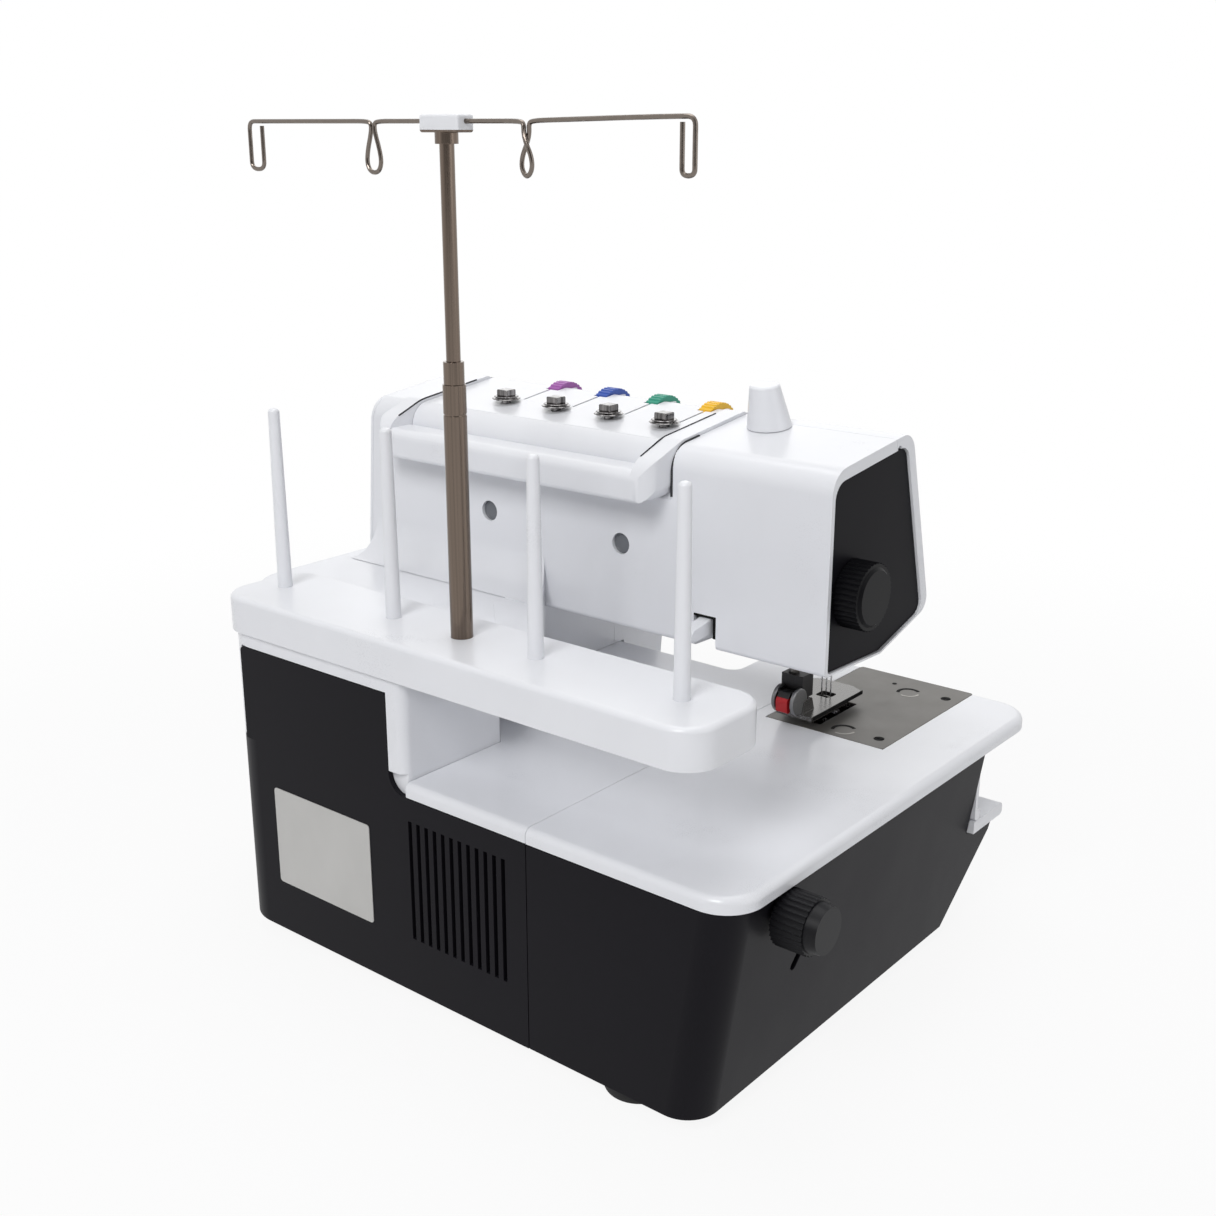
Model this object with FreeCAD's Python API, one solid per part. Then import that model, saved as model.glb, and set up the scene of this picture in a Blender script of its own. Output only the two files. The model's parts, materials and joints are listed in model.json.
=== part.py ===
"""Table-top overlock family sewing machine, seen as its separate pieces.

Millimetres, +Z up. While the pieces are made, X runs to the operator's right from the left end of the
rear lip line, Y runs to the rear from the rear face of the base, and Z runs up from the table. The
finished pieces are moved together so that the origin is on the table under the middle of the machine.
"""
import FreeCAD, Part
import math
import os
from FreeCAD import Vector

# Fits
GAP = 0.3
RUN = 0.05
SNUG = 0.02
SEAM = 0.3

# Feet, pan and dark base
FOOT_HEIGHT = 10.0
FOOT_RADIUS = 19.0
FOOT_TAPER = 1.5
FOOT_INSET_X = 50.5
FOOT_INSET_Y = 22.6
FOOT_CHAMFER_ROOM = 4.0
PAN_THICK = 2.5
BASE_BOTTOM = 9.0
BASE_WALL = 3.0
BASE_LEFT = -5.0
BASE_LEFT_TAPER = 17.0
BASE_RIGHT = 405.0
REAR_CORNER_X = 334.0
REAR_CHAMFER_DEPTH = 78.0
BASE_CORNER_R = 18.0
CHAMFER_R = 28.0
LIP_Z = 124.0
FRONT_Y = -250.0
NOSE_Y = -284.0
NOSE_DROP_Z = 60.0
NOSE_HEEL_Y = -253.0
NOSE_HEEL_Z = 22.0
NOSE_FOOT_Y = -243.0
SEAM_X = 116.0

# Dark rear tab, vents and lever slot of the base
TAB_LEFT = 212.0
TAB_RIGHT = 330.0
TAB_TOP = 179.0
TAB_CORNER_R = 11.5
TAB_DEPTH = 3.0
VENT_COUNT = 12
VENT_LEFT = 130.0
VENT_PITCH = 6.0
VENT_WIDTH = 2.6
VENT_LOW = 42.0
VENT_HIGH = 111.0
LEVER_SLOT_Y = -69.2
LEVER_SLOT_Z = 71.8
LEVER_SLOT_LENGTH = 12.0
LEVER_SLOT_WIDTH = 5.0
LEVER_SLOT_LEAN = 32.0

# White front ledge and looper cover
LEDGE_THICK = 7.5
LEDGE_TOP = 77.5
LEDGE_FRONT_Y = -287.0
COVER_THICK = 3.0
COVER_LEFT = -1.0
COVER_GAP = 1.0
COVER_TOP = 118.0
BARREL_R = 3.2
HINGE_PIN_R = 1.2
HINGE_EAR_WIDTH = 5.0
HINGE_PIN_ROOM = 10.5
HINGE_EAR_X = (30.0, 190.0)

# Bed
BED_THICK = 8.0
BED_SKIN = 3.0
BED_LEFT = -8.0
BED_FRONT_Y = -306.0
TONGUE_RIGHT = 166.0
BED_CORNER_R = 22.0
BED_INSET = 2.0
TONGUE_ROOT_R = 6.0
TONGUE_R = 10.0
BED_EDGE_R = 4.0

# Needle plate
PLATE_LEFT = 31.0
PLATE_RIGHT = 107.0
PLATE_REAR_Y = -196.0
PLATE_EDGE = 1.0
PLATE_FRONT_Y = BED_FRONT_Y + PLATE_EDGE
PLATE_THICK = 2.5
PLATE_SCREW_R = 3.0
PLATE_SCREW_X = 40.0
PLATE_SCREW_Y = (PLATE_REAR_Y - 12.0, PLATE_FRONT_Y + 18.0)

# White block behind the tower, spool stand and pins
BLOCK_LEFT = 200.0
BLOCK_STEP_Y = -72.0
BLOCK_WAIST_Y = -127.0
BLOCK_TOP = 187.6
BLOCK_SKIN = 3.0
BLOCK_CORNER_R = 6.0
STAND_LEFT = 14.0
STAND_RIGHT = 344.0
STAND_FRONT_Y = -57.0
STAND_REAR_Y = 2.4
STAND_THICK = 20.8
STAND_WALL = 3.2
STAND_CORNER_R = 18.0
SPOOL_PIN_HEIGHT = 101.0
SPOOL_PIN_BASE_R = 4.1
SPOOL_PIN_TOP_R = 3.1
SPOOL_PIN_OFFSETS = (-139.2, -50.4, 50.4, 139.2)

# Telescopic pole and thread guide yoke
POLE_X = 183.6
POLE_Y = -28.8
TUBE_R = 5.75
TUBE_BORE_R = 4.7
TUBE_TOP_Z = 337.0
TUBE_RING_Z = 322.0
FERRULE_TOP_Z = 348.0
FERRULE_DEPTH = 12.0
ROD_R = 3.5
ROD_FOOT_Z = 290.0
ROD_TOP_Z = 455.0
WIRE_R = 1.1
WIRE_RISE = 3.0
WIRE_HALF = 143.0
LOOP_HEIGHT = 23.0
LOOP_HALF_WIDTH = 5.0
LOOP_INNER = 49.6
LOOP_NECK = 1.6
CLIP_LENGTH = 25.0
CLIP_WIDTH = 11.0
CLIP_COVER = 3.0
CLIP_DROP = 5.0
CLIP_EDGE_R = 1.2
SOCKET_WALL = 2.0
SOCKET_DEPTH = 7.0

# Upper casing
CASE_WALL = 2.6
WALL_Y = -163.0
ARM_BOTTOM = 178.0
TOP_REAR_Z = 288.0
TOP_FRONT_Y = -245.0
TOP_FRONT_Z = 298.0
FRONT_LEAN = 0.283
CHIN_Z = 191.0
JAW_Y = -222.0
JAW_Z = 176.0
HEAD_LEFT = 50.0
TOWER_LEFT = 255.0
TOWER_TOE_Z = 130.0
TOWER_RIGHT_LOW = 411.0
TOWER_RIGHT_TOP = 393.0
END_COVER_DEPTH = 12.0
FLARE_R = 24.0
RIM_REAR = 3.0
RIM_TOP = 6.5
RIM_FRONT = 6.5
RIM_LOW = 1.2
RIM_DEPTH = 6.0
PANEL_RECESS = 1.3
PANEL_THICK = 3.0
PANEL_LEDGE = 3.0
SEAM_TOP_Y = -228.0
SEAM_LOW_Y = -240.0
SEAM_STEP_Z = 233.0
ACCESS_HOLE_R = 6.25
ACCESS_HOLES = ((291.0, 231.0), (188.0, 228.0))
MOUTH_X = (74.0, 137.0)
MOUTH_Y = (-247.0, -190.0)
NOTCH_X = (120.5, 135.5)
NOTCH_TOP = 196.0

# Tension cover, dials and thread guide discs
COVER_REAR_Y = -174.0
COVER_FRONT_Y = -262.0
DIAL_COLOURS = ("yellow", "green", "blue", "purple")
DIAL_FIRST_X = 179.0
DIAL_PITCH = 39.5
DIAL_Y = -241.0
DIAL_R = 17.0
DIAL_RISE = 2.4
DIAL_WIDTH = 9.0
DIAL_SHAFT_R = 2.0
DIAL_CHEEK = 2.0
DISC_FIRST_X = 182.0
DISC_PITCH = 41.0
DISC_Y = -195.0
DISC_R = 8.5
DISC_STEM_R = 3.0
DISC_CAP_R = 4.6
DISC_CAP_HEIGHT = 4.6
DISC_STEM_ROOM = 20.0
SLIT_WIDTH = 1.5

# Carry handle
HANDLE_X = (152.5, 369.5)
HANDLE_ARM_WIDTH = 13.0
HANDLE_PIVOT_Y = -231.0
HANDLE_PIVOT_DEPTH = 6.3
HANDLE_PIN_R = 2.0
HANDLE_PIN_LENGTH = 21.0
HANDLE_PIVOT_ROOM = 10.0
HANDLE_CORNER_R = 11.0
GRIP_REAR_Y = -142.0
GRIP_LOW_Z = 259.0
GRIP_TOP_Z = 277.0

# Knobs
KNOB_X = 126.0
KNOB_Y = -219.0
KNOB_BASE_R = 12.8
KNOB_TOP_R = 8.4
KNOB_HEIGHT = 24.6
KNOB_LEAN_X = 1.5
KNOB_LEAN_Y = 1.2
KNOB_EDGE_R = 1.8
KNOB_STEM_R = 5.0
KNOB_STEM_LENGTH = 9.0
FACE_DIAL_Y = -187.6
FACE_DIAL_Z = 219.5
FACE_DIAL_R = 18.8
FACE_DIAL_DEPTH = 14.0
SIDE_DIAL_Y = -44.0
SIDE_DIAL_Z = 109.0
SIDE_DIAL_R = 14.2
SIDE_DIAL_NOSE_R = 12.4
SIDE_DIAL_DEPTH = 23.0
DIAL_STEM_R = 5.0
RIB_DEPTH = 0.9

# Cast frame and drive
FLOOR_THICK = 6.0
FLOOR_X = (40.0, 395.0)
FLOOR_Y = (-232.0, -62.0)
FLOOR_CHAMFER = 42.0
COLUMN_X = (266.0, 306.0)
COLUMN_Y = (-188.0, -173.0)
BEAM_LEFT = 98.0
BEAM_Y = (-184.0, -170.0)
BEAM_Z = (206.0, 256.0)
LUG_RIGHT = 121.0
LUG_FRONT_Y = -242.0
LUG_HALF = 9.0
LUG_SLANT = 24.0
LUG_Z = ((188.0, 198.0), (250.0, 258.0))
ARM_BEARING_X = (134.0, 274.0)
ARM_BEARING_THICK = 12.0
ARM_BEARING_R = 10.0
LOOPER_BEARING_Y = (-214.0, -188.0)
LOOPER_BEARING_THICK = 8.0
FEED_GUIDE_Y = (-188.0, -174.0)
FEED_GUIDE_HALF = 9.0
SHAFT_Y = -200.0
SHAFT_Z = 100.0
SHAFT_R = 6.0
SHAFT_LEFT = 60.0
BUSH_WALL = 3.0
PEDESTAL_X = (128.0, 330.0)
PEDESTAL_THICK = 12.0
WHEEL_R = 34.0
WHEEL_WIDTH = 21.0
WHEEL_GAP = 4.0
WHEEL_HUB_R = 12.0
PULLEY_X = 386.0
BELT_WIDTH = 8.0
BELT_THICK = 2.0
DRIVE_PULLEY_R = 20.0
MOTOR_PULLEY_R = 8.0
MOTOR_Y = -95.0
MOTOR_Z = 56.0
MOTOR_R = 30.0
MOTOR_X = (268.0, 362.0)
MOTOR_SHAFT_R = 4.0

# Needle drive
ARM_SHAFT_Y = -196.0
ARM_SHAFT_Z = 226.0
ARM_SHAFT_R = 5.0
ARM_SHAFT_X = (97.0, 300.0)
ROCKER_R = 35.0
ROCKER_SWING = 0.4
ROCKER_THICK = 6.0
CRANK_PIN_R = 2.5
CRANK_SLOT_HALF = 10.0
CRANK_PIN_FLOAT = 0.6
NEEDLE_X = 88.0
NEEDLE_Y = -230.0
NEEDLE_BAR_R = 3.25
NEEDLE_BAR_TOP = 289.0
NEEDLE_CLAMP_LOW = 170.0
NEEDLE_CLAMP_HIGH = 186.0
NEEDLE_TIP = 139.0
NEEDLE_PITCH = 3.0

# Presser foot
PRESSER_X = 91.0
PRESSER_Y = -199.0
PRESSER_R = 3.0
PRESSER_TOP = 256.0
BRACKET_HALF = 4.5
BRACKET_HEIGHT = 8.0
FOOT_LIFT = 5.2
SOLE_THICK = 2.6
SOLE_X = (75.0, 110.0)
SOLE_Y = (-252.0, -190.0)
SOLE_NOSE = 8.0
ANKLE_X = (PRESSER_X - 9.0, PRESSER_X + 5.0)
ANKLE_Y = (PRESSER_Y - 6.0, PRESSER_Y + 5.0)
ANKLE_HEIGHT = 22.0
ANKLE_PIN_R = 1.5
TONGUE_X = (PRESSER_X - 6.0, PRESSER_X + 2.0)
TONGUE_Y = PRESSER_Y - 1.0
RELEASE_PIVOT_Y = -190.5
RELEASE_RISE = 11.5
RELEASE_REACH = 7.2
RELEASE_DROP = 9.6
RELEASE_PIN_R = 1.2
RELEASE_EAR = 3.0
LIFTER_X = (124.0, 132.0)
LIFTER_PIVOT_Y = -215.0
LIFTER_PIVOT_Z = 194.5
LIFTER_TIP_Y = -146.0
LIFTER_PIN_R = 2.5
LIFTER_REACH = 24.0
LIFTER_TOE = 4.0
LIFTER_HALF = 4.5
LIFTER_BEND = 12.0
LIFTER_TIP_DROP = 9.0
LIFTER_PIN_LEFT = 112.0

# Looper and feed
LOOPER_X = 116.0
LOOPER_Z = 66.0
LOOPER_SHAFT_R = 4.0
LOOPER_Y = -224.0
LOOPER_TOP = 115.0
LOOPER_REAR_Y = -178.0
LOOPER_REACH = 33.0
LOOPER_POINT = 5.0
LOOPER_TIP = 1.6
LOOPER_NECK = 6.0
LOOPER_HUB_WALL = 4.0
FEED_TOP = 131.6
FEED_X = (77.0, 96.0)
FEED_WIDTH = 5.0
FEED_Y = (-243.0, -208.0)
FEED_TRAVEL = 2.0
FEED_BAR_Z = (112.0, 118.0)
FEED_BAR_REAR_Y = -170.0
FEED_BAR_HALF = 5.0

# Electrical
INLET_Y = -224.0
INLET_Z = 38.0
INLET_WIDTH = 28.0
INLET_HEIGHT = 21.0
SWITCH_Y = -192.0
SWITCH_WIDTH = 14.0
SWITCH_HEIGHT = 20.0

# Worked out from the sizes above
PAN_TOP = FOOT_HEIGHT + PAN_THICK
FLOOR_TOP = PAN_TOP + FLOOR_THICK
NOSE_TOP = LEDGE_TOP - LEDGE_THICK - GAP
BED_TOP = LIP_Z + BED_THICK
STAND_TOP = BLOCK_TOP + STAND_THICK
WIRE_Z = ROD_TOP_Z + WIRE_RISE
LOOP_OUTER = WIRE_HALF - LOOP_HALF_WIDTH
LOOP_OFFSETS = (-LOOP_OUTER, -LOOP_INNER, LOOP_INNER, LOOP_OUTER)
COVER_RIGHT = TOWER_LEFT - COVER_GAP
TOP_SLOPE = (TOP_FRONT_Z - TOP_REAR_Z) / (WALL_Y - TOP_FRONT_Y)
CHIN_Y = TOP_FRONT_Y - FRONT_LEAN * (TOP_FRONT_Z - CHIN_Z)
TOWER_TOE_Y = TOP_FRONT_Y - FRONT_LEAN * (TOP_FRONT_Z - TOWER_TOE_Z)
PEDESTAL_BORE_R = SHAFT_R + BUSH_WALL
ARM_BUSH_R = ARM_SHAFT_R + BUSH_WALL - 1.0
CRANK_PIN_Z = ARM_SHAFT_Z + ROCKER_R * math.sin(ROCKER_SWING)
CRANK_PIN_Y = ARM_SHAFT_Y - ROCKER_R * math.cos(ROCKER_SWING)
SOLE_BOTTOM = BED_TOP + GAP + FOOT_LIFT
SOLE_TOP = SOLE_BOTTOM + SOLE_THICK
ANKLE_LOW = SOLE_TOP + GAP
RELEASE_PIVOT_Z = ANKLE_LOW + RELEASE_RISE
COVER_X = (HANDLE_X[0] + HANDLE_ARM_WIDTH + GAP, HANDLE_X[1] - HANDLE_ARM_WIDTH - GAP)
DIAL_Z = TOP_REAR_Z + (WALL_Y - DIAL_Y) * TOP_SLOPE + DIAL_RISE - DIAL_R
HANDLE_PIVOT_Z = TOP_REAR_Z + (WALL_Y - HANDLE_PIVOT_Y) * TOP_SLOPE - HANDLE_PIVOT_DEPTH
FAR = 600.0


def top_z(y):
    """Height of the casing's sloping top surface at a given Y."""
    return TOP_REAR_Z + (WALL_Y - y) * TOP_SLOPE


def place(plane, a, b, offset=0.0):
    """Turn two in-plane numbers and an offset along the normal into a point."""
    if plane == "YZ":
        return Vector(offset, a, b)
    if plane == "XZ":
        return Vector(a, offset, b)
    return Vector(a, b, offset)


def outline_face(plane, points, radii=0.0, offset=0.0):
    """Make a flat face from corner points, with each corner rounded by its radius."""
    count = len(points)
    if not isinstance(radii, (list, tuple)):
        radii = [radii] * count
    stretches = []
    for index, corner in enumerate(points):
        here = Vector(corner[0], corner[1], 0)
        back = Vector(*points[index - 1], 0) - here
        ahead = Vector(*points[(index + 1) % count], 0) - here
        if radii[index] <= 0:
            stretches.append((here, None, here))
            continue
        back.normalize()
        ahead.normalize()
        half = back.getAngle(ahead) / 2
        inward = back + ahead
        inward.normalize()
        reach = radii[index] / math.tan(half)
        middle = here + inward * (radii[index] / math.sin(half) - radii[index])
        stretches.append((here + back * reach, middle, here + ahead * reach))
    edges = []
    for index, (start, middle, end) in enumerate(stretches):
        spots = [place(plane, p.x, p.y, offset) for p in (start, end)]
        if middle is not None:
            edges.append(Part.Arc(spots[0], place(plane, middle.x, middle.y, offset), spots[1]).toShape())
        following = stretches[(index + 1) % count][0]
        target = place(plane, following.x, following.y, offset)
        if spots[1].distanceToPoint(target) > 1e-6:
            edges.append(Part.LineSegment(spots[1], target).toShape())
    return Part.Face(Part.Wire(edges))


def along(plane, length):
    """Vector along the normal of a named plane."""
    return {"YZ": Vector(length, 0, 0), "XZ": Vector(0, length, 0), "XY": Vector(0, 0, length)}[plane]


def prism(plane, points, radii, low, high):
    """Extrude a rounded outline along the normal of its plane."""
    return outline_face(plane, points, radii, low).extrude(along(plane, high - low))


def inset_prism(plane, points, radii, inset, low, high):
    """Extrude a rounded outline that has been shrunk evenly by an inset."""
    face = outline_face(plane, points, radii, low)
    return face.makeOffset2D(-inset).extrude(along(plane, high - low))


def box(x, y, z):
    """Box between two limits on each axis."""
    return Part.makeBox(x[1] - x[0], y[1] - y[0], z[1] - z[0], Vector(x[0], y[0], z[0]))


def rod(plane, radius, a, b, low, high):
    """Round bar along the normal of a named plane."""
    return Part.makeCylinder(radius, high - low, place(plane, a, b, low), along(plane, 1.0))


def cone(plane, low_radius, high_radius, a, b, low, high):
    """Tapered round bar along the normal of a named plane."""
    return Part.makeCone(low_radius, high_radius, high - low, place(plane, a, b, low), along(plane, 1.0))


def fuse(shapes):
    """Join shapes into one solid."""
    joined = shapes[0].multiFuse(shapes[1:]) if len(shapes) > 1 else shapes[0]
    return joined.removeSplitter()


def ribbed(plane, radius, a, b, low, high, count, depth):
    """Round knob with grip flutes along its side."""
    knob = rod(plane, radius, a, b, low, high)
    flutes = []
    for index in range(count):
        turn = 2 * math.pi * index / count
        flutes.append(rod(plane, 2 * depth, a + (radius + depth) * math.cos(turn),
                          b + (radius + depth) * math.sin(turn), low - 1, high + 1))
    return knob.cut(flutes)


def base_plan(left):
    """Corner points of the base's plan outline for a given left edge."""
    return [(left, 0), (REAR_CORNER_X, 0), (BASE_RIGHT, -REAR_CHAMFER_DEPTH),
            (BASE_RIGHT, NOSE_Y - 30), (left, NOSE_Y - 30)]


BASE_PLAN_R = [BASE_CORNER_R, CHAMFER_R, CHAMFER_R, 1.0, 1.0]


def base_block(inset):
    """Solid of the base between its slanting left wall, rear face and front nose, shrunk by an inset."""
    low = outline_face("XY", base_plan(BASE_LEFT + BASE_LEFT_TAPER), BASE_PLAN_R, BASE_BOTTOM)
    high = outline_face("XY", base_plan(BASE_LEFT), BASE_PLAN_R, LIP_Z)
    if inset:
        low = low.makeOffset2D(-inset)
        high = high.makeOffset2D(-inset)
    loft = Part.makeLoft([low.OuterWire, high.OuterWire], True, True)
    slack = FAR if inset else 0.0
    side = [(FAR, BASE_BOTTOM - slack), (FAR, LIP_Z + slack), (FRONT_Y + inset, LIP_Z + slack),
            (FRONT_Y + inset, NOSE_TOP - inset), (NOSE_Y + inset, NOSE_TOP - inset),
            (NOSE_Y + inset + 2, NOSE_DROP_Z), (NOSE_HEEL_Y + inset, NOSE_HEEL_Z),
            (NOSE_FOOT_Y + inset, BASE_BOTTOM - slack)]
    return loft.common(prism("YZ", side, 0, -FAR, FAR))


def base_covers():
    """Dark base in two mouldings that meet at the casing seam."""
    trim = LIP_Z - GAP
    shell = base_block(0).cut(base_block(BASE_WALL))
    shell = shell.cut(box((-FAR, FAR), (-FAR, FAR), (trim, LIP_Z + 5)))
    window = box((COVER_LEFT + 24, COVER_RIGHT - 4), (FRONT_Y - 5, FRONT_Y + 8), (LEDGE_TOP + 2, COVER_TOP - 3))
    shell = shell.cut(window)
    tab = outline_face("XZ", [(TAB_LEFT, trim), (TAB_LEFT, TAB_TOP), (TAB_RIGHT, TAB_TOP), (TAB_RIGHT, trim)],
                       [0, 3, 3, 0], -TAB_DEPTH).extrude(along("XZ", TAB_DEPTH))
    corner = box((TAB_LEFT - TAB_CORNER_R, TAB_LEFT), (-TAB_DEPTH, 0), (trim, trim + TAB_CORNER_R))
    corner = corner.cut(rod("XZ", TAB_CORNER_R, TAB_LEFT - TAB_CORNER_R, trim + TAB_CORNER_R, -FAR, FAR))
    vents = []
    for index in range(VENT_COUNT):
        left = VENT_LEFT + index * VENT_PITCH
        vents.append(box((left, left + VENT_WIDTH), (-2 * BASE_WALL, BASE_WALL), (VENT_LOW, VENT_HIGH)))
    right = shell.common(box((SEAM_X + SEAM / 2, FAR), (-FAR, FAR), (0, FAR)))
    right = fuse([right, tab, corner])
    openings = vents + [rod("YZ", WHEEL_HUB_R + 1.0, SHAFT_Y, SHAFT_Z, BASE_RIGHT - 20, BASE_RIGHT + 20)]
    openings.append(inlet_box(SNUG))
    openings.append(switch_box(SNUG))
    right = right.cut(openings)
    left = shell.common(box((-FAR, SEAM_X - SEAM / 2), (-FAR, FAR), (0, FAR)))
    left = left.cut([rod("YZ", DIAL_STEM_R + RUN, SIDE_DIAL_Y, SIDE_DIAL_Z, -FAR, 30), lever_slot()])
    return {"base_cover_right": right, "base_cover_left": left}


def lever_slot():
    """Leaning slot through the base's left wall, below the side dial."""
    half_width = LEVER_SLOT_WIDTH / 2
    half_length = LEVER_SLOT_LENGTH / 2
    points = [(-half_width, -half_length), (half_width, -half_length), (half_width, half_length),
              (-half_width, half_length)]
    slot = prism("YZ", points, half_width - RUN, BASE_LEFT - 20, BASE_LEFT + 20)
    slot.rotate(Vector(0, 0, 0), Vector(1, 0, 0), LEVER_SLOT_LEAN)
    slot.translate(Vector(0, LEVER_SLOT_Y, LEVER_SLOT_Z))
    return slot


def inlet_box(grow):
    """Body of the power inlet where it passes the right wall."""
    half_y = INLET_WIDTH / 2 + grow
    half_z = INLET_HEIGHT / 2 + grow
    return box((BASE_RIGHT - 24 - grow, BASE_RIGHT + 10 * grow), (INLET_Y - half_y, INLET_Y + half_y),
               (INLET_Z - half_z, INLET_Z + half_z))


def switch_box(grow):
    """Bezel of the rocker switch where it passes the right wall."""
    half_y = SWITCH_WIDTH / 2 + grow
    half_z = SWITCH_HEIGHT / 2 + grow
    return box((BASE_RIGHT - 16 - grow, BASE_RIGHT + 10 * grow), (SWITCH_Y - half_y, SWITCH_Y + half_y),
               (INLET_Z - half_z, INLET_Z + half_z))


def electrics():
    """Power inlet, switch bezel and rocker on the right wall."""
    lip = box((BASE_RIGHT, BASE_RIGHT + 1.5), (INLET_Y - INLET_WIDTH / 2 - 2, INLET_Y + INLET_WIDTH / 2 + 2),
              (INLET_Z - INLET_HEIGHT / 2 - 2, INLET_Z + INLET_HEIGHT / 2 + 2))
    cavity = box((BASE_RIGHT - 18, BASE_RIGHT + 5), (INLET_Y - INLET_WIDTH / 2 + 2.5, INLET_Y + INLET_WIDTH / 2 - 2.5),
                 (INLET_Z - INLET_HEIGHT / 2 + 2.5, INLET_Z + INLET_HEIGHT / 2 - 2.5))
    inlet = fuse([inlet_box(0), lip]).cut(cavity)
    pins = [rod("YZ", 1.6, INLET_Y + step, INLET_Z, BASE_RIGHT - 18, BASE_RIGHT - 6) for step in (-5.0, 5.0)]
    inlet = fuse([inlet] + pins)
    bezel = fuse([switch_box(0), box((BASE_RIGHT, BASE_RIGHT + 1.2),
                                     (SWITCH_Y - SWITCH_WIDTH / 2 - 1.5, SWITCH_Y + SWITCH_WIDTH / 2 + 1.5),
                                     (INLET_Z - SWITCH_HEIGHT / 2 - 1.5, INLET_Z + SWITCH_HEIGHT / 2 + 1.5))])
    well = box((BASE_RIGHT - 12, BASE_RIGHT + 5), (SWITCH_Y - SWITCH_WIDTH / 2 + 1.5, SWITCH_Y + SWITCH_WIDTH / 2 - 1.5),
               (INLET_Z - SWITCH_HEIGHT / 2 + 1.5, INLET_Z + SWITCH_HEIGHT / 2 - 1.5))
    bezel = bezel.cut(well)
    pivot_x = BASE_RIGHT - 3
    half = SWITCH_HEIGHT / 2 - 3.2
    rocker_points = [(pivot_x - 3, INLET_Z - 3), (pivot_x + 3.4, INLET_Z - half), (pivot_x + 4.2, INLET_Z),
                     (pivot_x + 6.2, INLET_Z + half), (pivot_x - 3, INLET_Z + 3)]
    rocker = prism("XZ", rocker_points, [1, 0.8, 0, 0.8, 1], SWITCH_Y - SWITCH_WIDTH / 2 + 2,
                   SWITCH_Y + SWITCH_WIDTH / 2 - 2)
    pin = rod("XZ", 1.2, pivot_x, INLET_Z, SWITCH_Y - SWITCH_WIDTH / 2 + 0.5, SWITCH_Y + SWITCH_WIDTH / 2 - 0.5)
    bezel = bezel.cut(rod("XZ", 1.2 + RUN, pivot_x, INLET_Z, SWITCH_Y - SWITCH_WIDTH / 2 + 0.4,
                          SWITCH_Y + SWITCH_WIDTH / 2 - 0.4))
    return {"power_inlet": inlet, "switch_bezel": bezel, "rocker_switch": fuse([rocker, pin])}


def base_floor():
    """Steel pan under the base, and its four rubber feet."""
    low = outline_face("XY", base_plan(BASE_LEFT + BASE_LEFT_TAPER), BASE_PLAN_R, FOOT_HEIGHT)
    low = low.makeOffset2D(-(BASE_WALL + GAP))
    pan = low.extrude(Vector(0, 0, PAN_THICK))
    pan = pan.common(box((-FAR, FAR), (NOSE_FOOT_Y + BASE_WALL + GAP, FAR), (0, FAR)))
    feet = []
    left = BASE_LEFT + BASE_LEFT_TAPER + FOOT_INSET_X
    right = BASE_RIGHT - FOOT_INSET_X
    front = NOSE_FOOT_Y + FOOT_INSET_Y
    for x, y in ((left, front), (left, -FOOT_INSET_Y), (right, front), (right, -REAR_CHAMFER_DEPTH - FOOT_CHAMFER_ROOM)):
        feet.append(cone("XY", FOOT_RADIUS - FOOT_TAPER, FOOT_RADIUS, x, y, 0, FOOT_HEIGHT))
    return {"base_pan": pan, "rubber_feet": Part.makeCompound(feet)}


def front_ledge():
    """White ledge on the nose, and the looper cover that folds down on to it."""
    axis_y = FRONT_Y - GAP - BARREL_R
    axis_z = LEDGE_TOP + GAP + BARREL_R
    ledge = prism("YZ", [(FRONT_Y - GAP, NOSE_TOP + GAP), (FRONT_Y - GAP, LEDGE_TOP), (LEDGE_FRONT_Y, LEDGE_TOP),
                         (LEDGE_FRONT_Y, NOSE_TOP + GAP)], [0, 0, 3, 2.5], BASE_LEFT + 4, BASE_RIGHT)
    ears = []
    slots = []
    pins = []
    for x in HINGE_EAR_X:
        ears.append(rod("YZ", BARREL_R, axis_y, axis_z, x, x + HINGE_EAR_WIDTH))
        ears.append(box((x, x + HINGE_EAR_WIDTH), (axis_y - BARREL_R, axis_y + BARREL_R), (LEDGE_TOP, axis_z)))
        slots.append(box((x - GAP, x + HINGE_EAR_WIDTH + GAP), (axis_y - 12, FRONT_Y + 5),
                         (LEDGE_TOP - 5, axis_z + BARREL_R + GAP)))
        pins.append(rod("YZ", HINGE_PIN_R, axis_y, axis_z, x - 10, x + HINGE_EAR_WIDTH + 10))
    ledge = fuse([ledge] + ears)
    ledge = ledge.cut([rod("YZ", HINGE_PIN_R + SNUG, axis_y, axis_z, x - 1, x + HINGE_EAR_WIDTH + 1)
                       for x in HINGE_EAR_X])
    panel = prism("YZ", [(axis_y - COVER_THICK + BARREL_R, axis_z), (axis_y - COVER_THICK + BARREL_R, COVER_TOP),
                         (axis_y + BARREL_R, COVER_TOP), (axis_y + BARREL_R, axis_z)], [0, 1.2, 1.2, 0],
                  COVER_LEFT, COVER_RIGHT)
    barrel = rod("YZ", BARREL_R, axis_y, axis_z, COVER_LEFT, COVER_RIGHT)
    cover = fuse([panel, barrel]).cut(slots)
    cover = cover.cut([rod("YZ", HINGE_PIN_R + RUN, axis_y, axis_z, x - HINGE_PIN_ROOM, x + HINGE_EAR_WIDTH + HINGE_PIN_ROOM)
                       for x in HINGE_EAR_X])
    return {"front_ledge": ledge, "looper_cover": cover, "looper_cover_pins": Part.makeCompound(pins)}


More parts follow.
